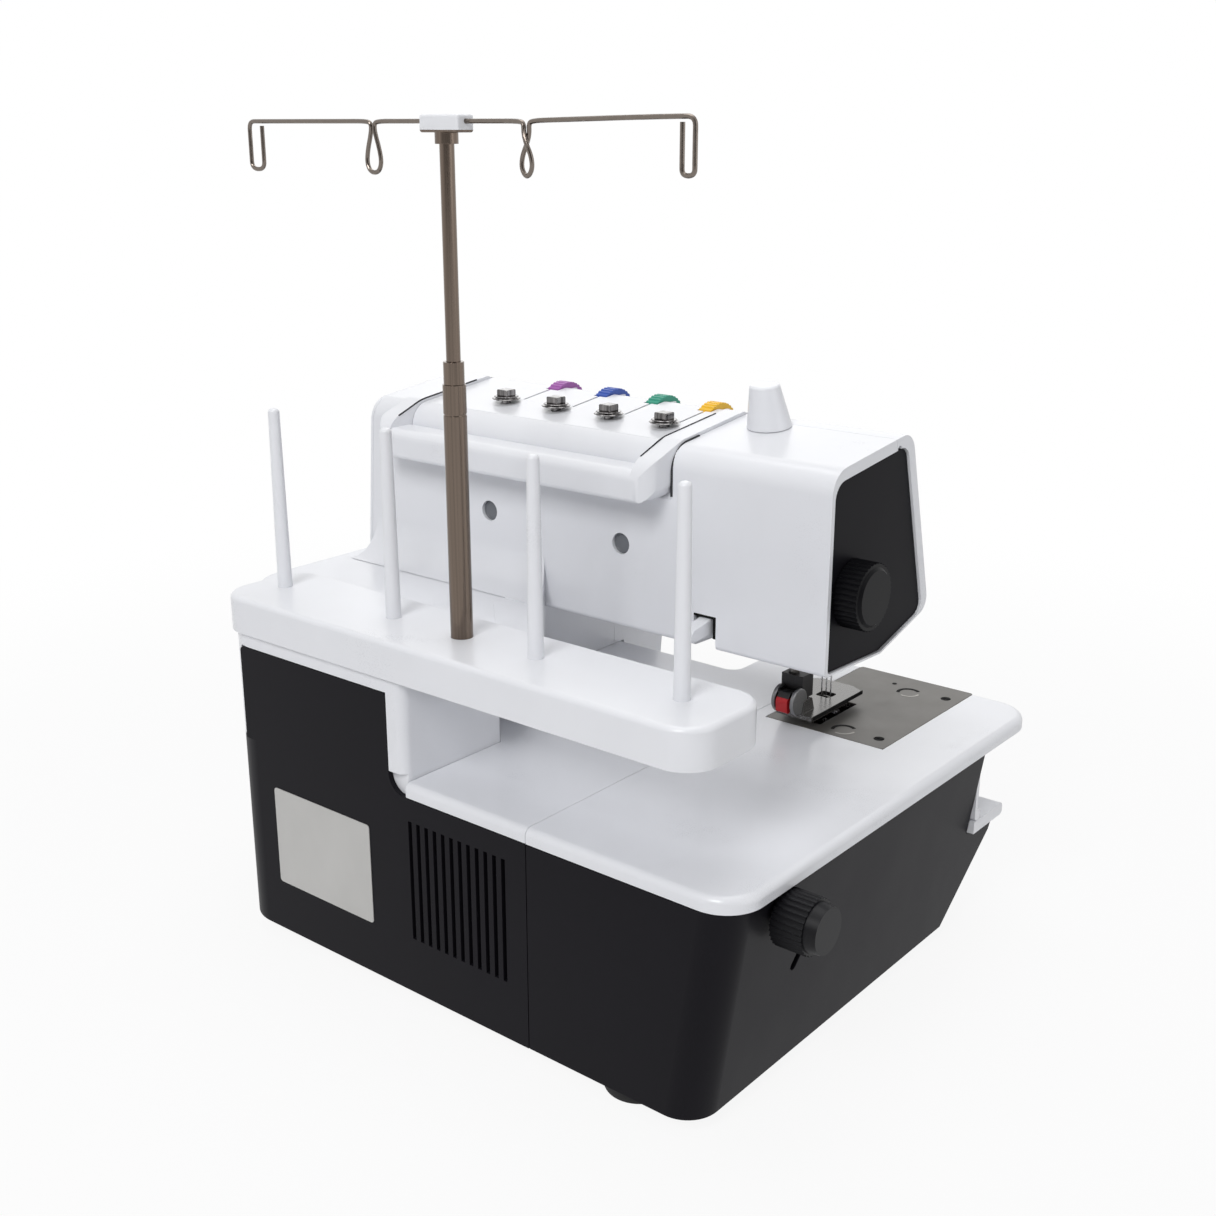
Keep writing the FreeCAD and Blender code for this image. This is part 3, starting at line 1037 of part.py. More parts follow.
def main_frame():
    """Cast frame: floor, shaft pedestals, column, arm beam and head lugs in one casting."""
    floor = [(FLOOR_X[0], FLOOR_Y[0]), (FLOOR_X[1], FLOOR_Y[0]), (FLOOR_X[1], FLOOR_Y[1] - FLOOR_CHAMFER),
             (FLOOR_X[1] - FLOOR_CHAMFER, FLOOR_Y[1]), (FLOOR_X[0], FLOOR_Y[1])]
    root = FLOOR_TOP - 1
    parts = [prism("XY", floor, 6.0, PAN_TOP, FLOOR_TOP)]
    for x in PEDESTAL_X:
        pedestal = [(SHAFT_Y - 26, root), (SHAFT_Y - 14, SHAFT_Z + 14), (SHAFT_Y + 14, SHAFT_Z + 14), (SHAFT_Y + 26, root)]
        parts.append(prism("YZ", pedestal, [0, 10, 10, 0], x, x + PEDESTAL_THICK))
    parts.append(box(COLUMN_X, COLUMN_Y, (root, BEAM_Z[1])))
    parts.append(box((BEAM_LEFT, COLUMN_X[1]), BEAM_Y, BEAM_Z))
    parts.append(box((BEAM_LEFT, LUG_RIGHT), BEAM_Y, (LUG_Z[0][0], LUG_Z[1][1])))
    for low, high in LUG_Z:
        parts.append(prism("XY", lug_plan(), [6, 6, 4, 0, 0], low, high))
    for x in ARM_BEARING_X:
        bearing = [(BEAM_Y[1] - 1, ARM_SHAFT_Z - 14), (ARM_SHAFT_Y - 12, ARM_SHAFT_Z - 12),
                   (ARM_SHAFT_Y - 12, ARM_SHAFT_Z + 12), (BEAM_Y[1] - 1, ARM_SHAFT_Z + 14)]
        parts.append(prism("YZ", bearing, [0, ARM_BEARING_R, ARM_BEARING_R, 0], x, x + ARM_BEARING_THICK))
    for y in LOOPER_BEARING_Y:
        bearing = [(LOOPER_X - 12, root), (LOOPER_X - 8, LOOPER_Z + 8), (LOOPER_X + 8, LOOPER_Z + 8), (LOOPER_X + 12, root)]
        parts.append(prism("XZ", bearing, [0, 6, 6, 0], y, y + LOOPER_BEARING_THICK))
    guide_x = (FEED_X[0] + FEED_X[1] + FEED_WIDTH) / 2
    parts.append(box((guide_x - FEED_GUIDE_HALF, guide_x + FEED_GUIDE_HALF), FEED_GUIDE_Y, (root, FEED_BAR_Z[0] - GAP)))
    bores = [rod("YZ", PEDESTAL_BORE_R, SHAFT_Y, SHAFT_Z, 0, FAR),
             rod("YZ", ARM_BUSH_R, ARM_SHAFT_Y, ARM_SHAFT_Z, ARM_BEARING_X[0] - 1, FAR),
             rod("XY", NEEDLE_BAR_R + RUN, NEEDLE_X, NEEDLE_Y, LUG_Z[0][0] - 1, FAR),
             rod("XY", PRESSER_R + RUN, PRESSER_X, PRESSER_Y, LUG_Z[0][0] - 1, FAR),
             rod("YZ", LIFTER_PIN_R + SNUG, LIFTER_PIVOT_Y, LIFTER_PIVOT_Z, LIFTER_PIN_LEFT - SNUG, LUG_RIGHT + 1),
             rod("XZ", LOOPER_SHAFT_R + RUN, LOOPER_X, LOOPER_Z, -FAR, 0)]
    return {"main_frame": fuse(parts).cut(bores)}


def drive():
    """Main shaft with handwheel and pulley, belt, motor and motor pulley."""
    wheel_x = BASE_RIGHT + WHEEL_GAP
    shaft = rod("YZ", SHAFT_R, SHAFT_Y, SHAFT_Z, SHAFT_LEFT, wheel_x + WHEEL_WIDTH - 4)
    bushes = []
    for x in PEDESTAL_X:
        bush = rod("YZ", PEDESTAL_BORE_R - SNUG, SHAFT_Y, SHAFT_Z, x - 1, x + PEDESTAL_THICK + 1)
        bushes.append(bush.cut(rod("YZ", SHAFT_R + RUN, SHAFT_Y, SHAFT_Z, x - 5, x + PEDESTAL_THICK + 5)))
    for x in ARM_BEARING_X:
        bush = rod("YZ", ARM_BUSH_R - SNUG, ARM_SHAFT_Y, ARM_SHAFT_Z, x - 1, x + ARM_BEARING_THICK + 1)
        bushes.append(bush.cut(rod("YZ", ARM_SHAFT_R + RUN, ARM_SHAFT_Y, ARM_SHAFT_Z, x - 5, x + ARM_BEARING_THICK + 5)))
    wheel = ribbed("YZ", WHEEL_R, SHAFT_Y, SHAFT_Z, wheel_x, wheel_x + WHEEL_WIDTH, 24, 1.2)
    dish = cone("YZ", WHEEL_R - 12, WHEEL_R - 8, SHAFT_Y, SHAFT_Z, wheel_x + WHEEL_WIDTH - 3, wheel_x + WHEEL_WIDTH + 0.1)
    hub = rod("YZ", WHEEL_HUB_R, SHAFT_Y, SHAFT_Z, PULLEY_X + BELT_WIDTH / 2 + 2.5, wheel_x + 1)
    wheel = fuse([wheel.cut(dish), hub]).cut(rod("YZ", SHAFT_R + SNUG, SHAFT_Y, SHAFT_Z, 0, wheel_x + WHEEL_WIDTH - 4 + SNUG))
    pulley = pulley_at(SHAFT_Y, SHAFT_Z, DRIVE_PULLEY_R, SHAFT_R + SNUG)
    motor_shaft = rod("YZ", MOTOR_SHAFT_R, MOTOR_Y, MOTOR_Z, MOTOR_X[1] - 14, PULLEY_X + BELT_WIDTH / 2 + 4)
    motor_pulley = fuse([pulley_at(MOTOR_Y, MOTOR_Z, MOTOR_PULLEY_R, 0), motor_shaft])
    can = rod("YZ", MOTOR_R, MOTOR_Y, MOTOR_Z, *MOTOR_X)
    rim = [e for e in can.Edges if isinstance(e.Curve, Part.Circle)]
    can = can.makeFillet(4.0, rim)
    foot = box((MOTOR_X[0] + 15, MOTOR_X[1] - 15), (MOTOR_Y - 22, MOTOR_Y + 22), (FLOOR_TOP, MOTOR_Z - 15))
    nose = rod("YZ", 11.0, MOTOR_Y, MOTOR_Z, MOTOR_X[1] - 1, MOTOR_X[1] + 5)
    motor = fuse([can, foot, nose]).cut(rod("YZ", MOTOR_SHAFT_R + RUN, MOTOR_Y, MOTOR_Z, MOTOR_X[1] - 14 - RUN, FAR))
    return {"main_shaft": shaft, "shaft_bushes": Part.makeCompound(bushes), "handwheel": wheel, "drive_pulley": pulley,
            "motor": motor, "motor_pulley": motor_pulley, "drive_belt": belt()}


def pulley_at(y, z, radius, bore):
    """Flanged belt pulley about an X axis."""
    low = PULLEY_X - BELT_WIDTH / 2 - GAP
    high = PULLEY_X + BELT_WIDTH / 2 + GAP
    pieces = [rod("YZ", radius, y, z, low, high), rod("YZ", radius + 3.4, y, z, low - 1.5, low),
              rod("YZ", radius + 3.4, y, z, high, high + 1.5)]
    pulley = fuse(pieces)
    return pulley.cut(rod("YZ", bore, y, z, 0, FAR)) if bore else pulley


def belt_face(extra):
    """Belt outline round both pulleys at a height above their rims."""
    big = DRIVE_PULLEY_R + GAP + extra
    small = MOTOR_PULLEY_R + GAP + extra
    start = Vector(SHAFT_Y, SHAFT_Z, 0)
    end = Vector(MOTOR_Y, MOTOR_Z, 0)
    reach = end - start
    heading = math.atan2(reach.y, reach.x)
    spread = math.acos((big - small) / reach.Length)

    def spot(centre, radius, angle):
        return Vector(0, centre.x + radius * math.cos(angle), centre.y + radius * math.sin(angle))

    upper = heading + spread
    lower = heading - spread
    edges = [Part.LineSegment(spot(start, big, upper), spot(end, small, upper)).toShape(),
             Part.Arc(spot(end, small, upper), spot(end, small, heading), spot(end, small, lower)).toShape(),
             Part.LineSegment(spot(end, small, lower), spot(start, big, lower)).toShape(),
             Part.Arc(spot(start, big, lower), spot(start, big, heading + math.pi), spot(start, big, upper)).toShape()]
    return Part.Face(Part.Wire(edges))


def belt():
    """Flat loop of drive belt."""
    loop = belt_face(BELT_THICK).cut(belt_face(0.0))
    band = loop.extrude(Vector(BELT_WIDTH, 0, 0))
    band.translate(Vector(PULLEY_X - BELT_WIDTH / 2, 0, 0))
    return band


def needle_drive():
    """Rocking arm shaft with crank pin, needle bar with slotted block, clamp and needles."""
    rocker_x = (ARM_SHAFT_X[0], ARM_SHAFT_X[0] + ROCKER_THICK)
    shaft = rod("YZ", ARM_SHAFT_R, ARM_SHAFT_Y, ARM_SHAFT_Z, *ARM_SHAFT_X)
    hub = rod("YZ", ARM_SHAFT_R + 3, ARM_SHAFT_Y, ARM_SHAFT_Z, *rocker_x)
    eye = rod("YZ", CRANK_PIN_R + 2, CRANK_PIN_Y, CRANK_PIN_Z, *rocker_x)
    heading = Vector(0, CRANK_PIN_Y - ARM_SHAFT_Y, CRANK_PIN_Z - ARM_SHAFT_Z)
    heading.normalize()
    across = Vector(0, -heading.z, heading.y)
    spots = []
    for y, z, width in ((ARM_SHAFT_Y, ARM_SHAFT_Z, 6.0), (CRANK_PIN_Y, CRANK_PIN_Z, CRANK_PIN_R + 1.5)):
        for side in (-1, 1):
            spots.append((y + side * across.y * width, z + side * across.z * width))
    web = prism("YZ", [spots[0], spots[1], spots[3], spots[2]], 0, *rocker_x)
    pin = rod("YZ", CRANK_PIN_R, CRANK_PIN_Y, CRANK_PIN_Z, rocker_x[0] - 4.2, rocker_x[0] + 1)
    arm_shaft = fuse([shaft, hub, eye, web, pin])
    bar = rod("XY", NEEDLE_BAR_R, NEEDLE_X, NEEDLE_Y, NEEDLE_CLAMP_LOW + 6, NEEDLE_BAR_TOP)
    block_x = (NEEDLE_X - 6.5, rocker_x[0] - GAP)
    block = box(block_x, (NEEDLE_Y - 7, NEEDLE_Y + 7), (CRANK_PIN_Z - 7, CRANK_PIN_Z + 7))
    slot = box((rocker_x[0] - 4.8, rocker_x[0] + 1), (NEEDLE_Y - CRANK_SLOT_HALF, NEEDLE_Y + CRANK_SLOT_HALF),
               (CRANK_PIN_Z - CRANK_PIN_R - CRANK_PIN_FLOAT, CRANK_PIN_Z + CRANK_PIN_R + CRANK_PIN_FLOAT))
    bar = fuse([bar, block.cut(slot)])
    clamp = box((NEEDLE_X - 6.5, NEEDLE_X + 6.5), (NEEDLE_Y - 5.5, NEEDLE_Y + 5.5), (NEEDLE_CLAMP_LOW, NEEDLE_CLAMP_HIGH))
    clamp = clamp.makeChamfer(1.2, clamp.Edges)
    clamp = clamp.cut(rod("XY", NEEDLE_BAR_R + SNUG, NEEDLE_X, NEEDLE_Y, NEEDLE_CLAMP_LOW + 6, FAR))
    needles = []
    for step in (-1, 0, 1):
        x = NEEDLE_X + step * NEEDLE_PITCH
        clamp = clamp.cut(rod("XY", 0.8 + SNUG, x, NEEDLE_Y, NEEDLE_CLAMP_LOW - 1, NEEDLE_CLAMP_LOW + 6))
        needles.append(fuse([rod("XY", 0.8, x, NEEDLE_Y, NEEDLE_CLAMP_LOW - 4, NEEDLE_CLAMP_LOW + 6),
                             rod("XY", 0.45, x, NEEDLE_Y, NEEDLE_TIP + 4, NEEDLE_CLAMP_LOW - 4),
                             cone("XY", 0.1, 0.45, x, NEEDLE_Y, NEEDLE_TIP, NEEDLE_TIP + 4)]))
    return {"arm_shaft": arm_shaft, "needle_bar": bar, "needle_clamp": clamp, "needles": Part.makeCompound(needles)}


def presser_foot():
    """Sole with its two cheeks and hinge pin, and the ankle whose tongue sits between the cheeks."""
    pivot_z = ANKLE_LOW + 4
    ankle = box(ANKLE_X, ANKLE_Y, (ANKLE_LOW + 5, ANKLE_LOW + ANKLE_HEIGHT))
    tongue = prism("YZ", [(TONGUE_Y - 3.5, pivot_z - 3.5), (TONGUE_Y + 3.5, pivot_z - 3.5), (TONGUE_Y + 4, pivot_z + 4),
                          (TONGUE_Y - 4, pivot_z + 4)], [3, 3, 0, 0], *TONGUE_X)
    room_top = pivot_z + 4.4
    room = [box((ANKLE_X[0] - 3, TONGUE_X[0]), (ANKLE_Y[0] - 2, ANKLE_Y[1] + 1), (ANKLE_LOW, room_top)),
            box((TONGUE_X[1], ANKLE_X[1] + 3), (ANKLE_Y[0] - 2, ANKLE_Y[1] + 1), (ANKLE_LOW, room_top))]
    ankle = fuse([ankle.cut(room), tongue, release_ears()])
    ankle = ankle.cut([rod("XY", PRESSER_R + SNUG, PRESSER_X, PRESSER_Y, ANKLE_LOW + 10, FAR),
                       rod("YZ", ANKLE_PIN_R + RUN, TONGUE_Y, pivot_z, 0, FAR),
                       rod("YZ", RELEASE_PIN_R + RUN, RELEASE_PIVOT_Y, RELEASE_PIVOT_Z, 0, FAR)])
    outline = [(SOLE_X[0], SOLE_Y[0] + SOLE_NOSE / 2), (SOLE_X[0], SOLE_Y[1]), (SOLE_X[1], SOLE_Y[1]),
               (SOLE_X[1], SOLE_Y[0] + SOLE_NOSE / 2), (SOLE_X[1] - SOLE_NOSE, SOLE_Y[0]), (SOLE_X[0] + SOLE_NOSE, SOLE_Y[0])]
    sole = prism("XY", outline, [3, 3, 3, 3, 4, 4], SOLE_BOTTOM, SOLE_TOP)
    sole = sole.cut(prism("XY", needle_slot(4.8, 4.5), 2.0, SOLE_BOTTOM - 1, SOLE_TOP + 1))
    cheeks = []
    for low, high in ((ANKLE_X[0] - 0.5, TONGUE_X[0] - GAP), (TONGUE_X[1] + GAP, ANKLE_X[1] + 0.5)):
        cheeks.append(prism("YZ", [(TONGUE_Y - 7, SOLE_BOTTOM + 1), (TONGUE_Y - 4, pivot_z + 3.6), (TONGUE_Y + 4, pivot_z + 3.6),
                                   (TONGUE_Y + 7, SOLE_BOTTOM + 1)], [0, 2, 2, 0], low, high))
    pin = rod("YZ", ANKLE_PIN_R, TONGUE_Y, pivot_z, ANKLE_X[0] - 0.5, ANKLE_X[1] + 0.5)
    return {"foot_ankle": ankle, "presser_foot": fuse([sole] + cheeks + [pin]), "release_lever": release_lever()}


def release_ears():
    """Two ears at the ankle's rear that hold the release lever's pin."""
    reach = (ANKLE_Y[1] - 1, RELEASE_PIVOT_Y + RELEASE_EAR)
    rise = (RELEASE_PIVOT_Z - RELEASE_EAR, RELEASE_PIVOT_Z + RELEASE_EAR)
    ears = [box((ANKLE_X[0], ANKLE_X[0] + RELEASE_EAR), reach, rise), box((ANKLE_X[1] - RELEASE_EAR, ANKLE_X[1]), reach, rise)]
    return Part.makeCompound(ears)


def release_lever():
    """Red lever behind the ankle that lets the foot go."""
    y = RELEASE_PIVOT_Y
    z = RELEASE_PIVOT_Z
    points = [(y - 2.5, z - 2.5), (y - 2.5, z + 2.5), (y + 3.2, z + 2.5), (y + RELEASE_REACH, z - 2.2),
              (y + RELEASE_REACH - 0.4, z - RELEASE_DROP + 0.4), (y + RELEASE_REACH - 3.4, z - RELEASE_DROP), (y + 2.6, z - 3.4)]
    lever = prism("YZ", points, [2, 2, 2.4, 3, 1.2, 1.2, 2], ANKLE_X[0] + RELEASE_EAR + GAP, ANKLE_X[1] - RELEASE_EAR - GAP)
    return fuse([lever, rod("YZ", RELEASE_PIN_R, y, z, ANKLE_X[0] + GAP, ANKLE_X[1] - GAP)])


def presser():
    """Presser bar with its bracket, foot and release lever, and the hand lever that lifts them."""
    bar = rod("XY", PRESSER_R, PRESSER_X, PRESSER_Y, ANKLE_LOW + 10, PRESSER_TOP)
    bracket_z = (LUG_Z[0][1] + FOOT_LIFT + 2 * GAP, LUG_Z[0][1] + FOOT_LIFT + 2 * GAP + BRACKET_HEIGHT)
    lifter_top = LIFTER_PIVOT_Z + LIFTER_HALF
    toe_y = (LIFTER_PIVOT_Y + LIFTER_REACH, LIFTER_PIVOT_Y + LIFTER_REACH + LIFTER_TOE)
    bracket = box((PRESSER_X - BRACKET_HALF, LIFTER_X[1]), (PRESSER_Y - BRACKET_HALF, PRESSER_Y + BRACKET_HALF), bracket_z)
    back = box(LIFTER_X, (PRESSER_Y, max(toe_y[1], PRESSER_Y + BRACKET_HALF)), bracket_z)
    toe = box(LIFTER_X, toe_y, (lifter_top + GAP, bracket_z[0] + 1))
    bracket = fuse([bracket, back, toe]).cut(rod("XY", PRESSER_R + SNUG, PRESSER_X, PRESSER_Y, 0, FAR))
    lever_points = [(LIFTER_PIVOT_Y - LIFTER_HALF, LIFTER_PIVOT_Z - LIFTER_HALF), (LIFTER_PIVOT_Y - LIFTER_HALF, lifter_top),
                    (LIFTER_PIVOT_Y + LIFTER_REACH + LIFTER_TOE + 2, lifter_top), (LIFTER_TIP_Y, LIFTER_PIVOT_Z - 2),
                    (LIFTER_TIP_Y, LIFTER_PIVOT_Z - LIFTER_TIP_DROP), (WALL_Y - LIFTER_BEND, LIFTER_PIVOT_Z - 7)]
    lever = prism("YZ", lever_points, [4, 4, 3, 3, 3, 4], *LIFTER_X)
    lever = lever.cut(rod("YZ", LIFTER_PIN_R + RUN, LIFTER_PIVOT_Y, LIFTER_PIVOT_Z, 0, FAR))
    pin = rod("YZ", LIFTER_PIN_R, LIFTER_PIVOT_Y, LIFTER_PIVOT_Z, LIFTER_PIN_LEFT, LIFTER_X[1] + 1)
    return {"presser_bar": bar, "presser_bracket": bracket, "foot_lifter": lever, "lifter_pin": pin}


def looper_and_feed():
    """Chain looper on its rocking shaft, and the feed dog with its sliding bar."""
    shaft = rod("XZ", LOOPER_SHAFT_R, LOOPER_X, LOOPER_Z, LOOPER_Y - 3, LOOPER_REAR_Y)
    tip = LOOPER_X - LOOPER_REACH
    post = [(LOOPER_X - LOOPER_NECK, LOOPER_Z), (LOOPER_X + LOOPER_NECK, LOOPER_Z), (LOOPER_X + 3, LOOPER_TOP),
            (tip + LOOPER_POINT, LOOPER_TOP), (tip, LOOPER_TOP - LOOPER_TIP), (LOOPER_X - 4, LOOPER_TOP - LOOPER_NECK)]
    blade = prism("XZ", post, [0, 0, 5, 0, 0, 3], LOOPER_Y - 1.5, LOOPER_Y + 1.5)
    hub = rod("XZ", LOOPER_SHAFT_R + LOOPER_HUB_WALL, LOOPER_X, LOOPER_Z, LOOPER_Y - 3, LOOPER_Y + 6)
    looper = fuse([blade, hub]).cut(rod("XZ", LOOPER_SHAFT_R + SNUG, LOOPER_X, LOOPER_Z, -FAR, 0))
    middle = (FEED_X[0] + FEED_X[1] + FEED_WIDTH) / 2
    rows = []
    for x in FEED_X:
        row = box((x, x + FEED_WIDTH), FEED_Y, (BED_TOP - 6, FEED_TOP))
        pitch = 2.5
        count = int((FEED_Y[1] - FEED_Y[0]) / pitch)
        teeth = []
        for index in range(count):
            y = FEED_Y[0] + index * pitch
            teeth.append(prism("YZ", [(y, FEED_TOP + 0.01), (y + 0.7 * pitch, FEED_TOP - 1.1), (y + pitch, FEED_TOP + 0.01)],
                               0, x - 1, x + FEED_WIDTH + 1))
        rows.append(row.cut(teeth))
    yoke_bar = box((FEED_X[0], FEED_X[1] + FEED_WIDTH), (FEED_Y[1] - 6, FEED_Y[1]), (FEED_BAR_Z[0], BED_TOP - 5))
    slide_bar = box((middle - FEED_BAR_HALF, middle + FEED_BAR_HALF), (FEED_Y[1] - 3, FEED_BAR_REAR_Y), FEED_BAR_Z)
    return {"looper_shaft": shaft, "looper": looper, "feed_dog": fuse(rows + [yoke_bar, slide_bar])}


def all_pieces():
    """Every piece by its node name, in the making frame."""
    pieces = {}
    for make in (base_floor, base_covers, electrics, front_ledge, beds, needle_plate, tower_base, spool_stand, pole, yoke,
                 covers, carry_handle, pressure_knob, face_and_dials, tension_units, main_frame, drive, needle_drive,
                 presser, presser_foot, looper_and_feed):
        pieces.update(make())
    return pieces


def table_shift(pieces):
    """Move that puts the origin on the table under the middle of the machine."""
    bounds = FreeCAD.BoundBox()
    for shape in pieces.values():
        bounds.add(shape.optimalBoundingBox(False))
    return Vector(-bounds.Center.x, -bounds.Center.y, -bounds.ZMin)


def main():
    """Write every piece, moved to the shared origin, to a file of its own."""
    os.makedirs("parts", exist_ok=True)
    pieces = all_pieces()
    shift = table_shift(pieces)
    for name, shape in pieces.items():
        moved = shape.copy()
        moved.translate(shift)
        moved.exportStep(os.path.join("parts", name + ".step"))
    print("pieces", len(pieces), "moved by", [round(value, 4) for value in shift])


main()
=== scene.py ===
"""Looks of a table-top overlock family sewing machine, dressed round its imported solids.

Lengths in the classes are millimetres on the maker's bench: X to the operator's right, Y to the rear from the
base's rear face, Z up from the table. Bench.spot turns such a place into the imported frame's metres.
"""
from __future__ import annotations

import json
import logging
import math
from dataclasses import dataclass
from enum import Enum
from typing import Iterable, Mapping, Sequence, Union

import bmesh
import bpy
from mathutils import Matrix, Vector

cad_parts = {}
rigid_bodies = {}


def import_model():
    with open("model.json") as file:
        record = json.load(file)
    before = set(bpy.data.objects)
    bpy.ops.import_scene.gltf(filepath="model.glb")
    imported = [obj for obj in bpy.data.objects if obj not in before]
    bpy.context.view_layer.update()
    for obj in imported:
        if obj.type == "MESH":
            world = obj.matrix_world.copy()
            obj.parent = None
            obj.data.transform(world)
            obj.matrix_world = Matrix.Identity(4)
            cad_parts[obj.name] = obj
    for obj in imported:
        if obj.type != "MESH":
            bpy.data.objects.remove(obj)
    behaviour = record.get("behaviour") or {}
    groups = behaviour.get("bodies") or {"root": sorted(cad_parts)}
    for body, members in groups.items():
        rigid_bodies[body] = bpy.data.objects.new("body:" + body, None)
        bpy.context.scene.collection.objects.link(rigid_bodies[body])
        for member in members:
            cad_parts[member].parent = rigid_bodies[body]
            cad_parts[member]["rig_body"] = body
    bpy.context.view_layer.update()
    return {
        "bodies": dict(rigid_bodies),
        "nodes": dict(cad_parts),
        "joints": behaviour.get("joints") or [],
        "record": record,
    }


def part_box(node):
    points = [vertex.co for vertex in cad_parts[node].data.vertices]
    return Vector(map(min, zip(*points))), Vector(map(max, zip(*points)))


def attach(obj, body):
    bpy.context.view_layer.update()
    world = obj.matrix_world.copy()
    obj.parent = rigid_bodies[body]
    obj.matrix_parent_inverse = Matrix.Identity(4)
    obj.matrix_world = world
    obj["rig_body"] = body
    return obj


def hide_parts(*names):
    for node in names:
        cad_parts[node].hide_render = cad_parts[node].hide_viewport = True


LOG = logging.getLogger("overlock_machine")
MM = 0.001
NOISE_MEAN = 0.5
WELD = 0.000004
FLAT_ANGLE = math.radians(0.3)
EDGE_ANGLE = math.radians(30.0)
FIXED = "machine"
WALL_Y = -163.0

Pair = tuple[float, float]
Point = tuple[float, float, float]
Colour = tuple[float, float, float]
Profile = tuple[Pair, ...]
BMesh = bmesh.types.BMesh
Owner = Union[bpy.types.Material, bpy.types.World]
Value = Union["Signal", float, tuple]


class Slot(str, Enum):
    """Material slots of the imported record."""

    WHITE = "white_plastic"
    CLIP = "clip_plastic"
    DARK = "dark_plastic"
    BLACK = "black_plastic"
    RED = "red_plastic"
    RUBBER = "rubber"
    POLE = "pole_steel"
    STEEL = "satin_steel"
    CHROME = "chrome"
    CAST = "cast_aluminium"
    BRONZE = "bush_bronze"
    YELLOW = "dial_yellow"
    GREEN = "dial_green"
    BLUE = "dial_blue"
    PURPLE = "dial_purple"


class Axis(Enum):
    """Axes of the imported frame."""

    X = Vector((1.0, 0.0, 0.0))
    Y = Vector((0.0, 1.0, 0.0))
    Z = Vector((0.0, 0.0, 1.0))


class Signal:
    """A shader value that takes part in Python sums."""

    def __init__(self, graph: "Graph", socket: bpy.types.NodeSocket) -> None:
        """Keep the graph and the output socket that the value comes from."""
        self.graph = graph
        self.socket = socket

    def _math(self, operation: str, left: Value, right: Value) -> "Signal":
        """Add one Math node on two values."""
        return self.graph.add("ShaderNodeMath", {"operation": operation}, {0: left, 1: right})

    def __add__(self, other: Value) -> "Signal":
        """Sum with a value."""
        return self._math("ADD", self, other)

    def __radd__(self, other: Value) -> "Signal":
        """Sum with a value on the left."""
        return self._math("ADD", other, self)

    def __sub__(self, other: Value) -> "Signal":
        """Difference from a value."""
        return self._math("SUBTRACT", self, other)

    def __rsub__(self, other: Value) -> "Signal":
        """Difference of a value on the left."""
        return self._math("SUBTRACT", other, self)

    def __mul__(self, other: Value) -> "Signal":
        """Product with a value."""
        return self._math("MULTIPLY", self, other)

    def __rmul__(self, other: Value) -> "Signal":
        """Product with a value on the left."""
        return self._math("MULTIPLY", other, self)

    def step(self, low: float, high: float) -> "Signal":
        """Smooth step of the value from 0 at low to 1 at high."""
        return self.graph.add("ShaderNodeMapRange", {"interpolation_type": "SMOOTHSTEP"},
                              {0: self, 1: low, 2: high, 3: 0.0, 4: 1.0})


def shade(colour: Colour, factor: float) -> tuple[float, float, float, float]:
    """Colour made lighter or darker, with full cover."""
    return (colour[0] * factor, colour[1] * factor, colour[2] * factor, 1.0)


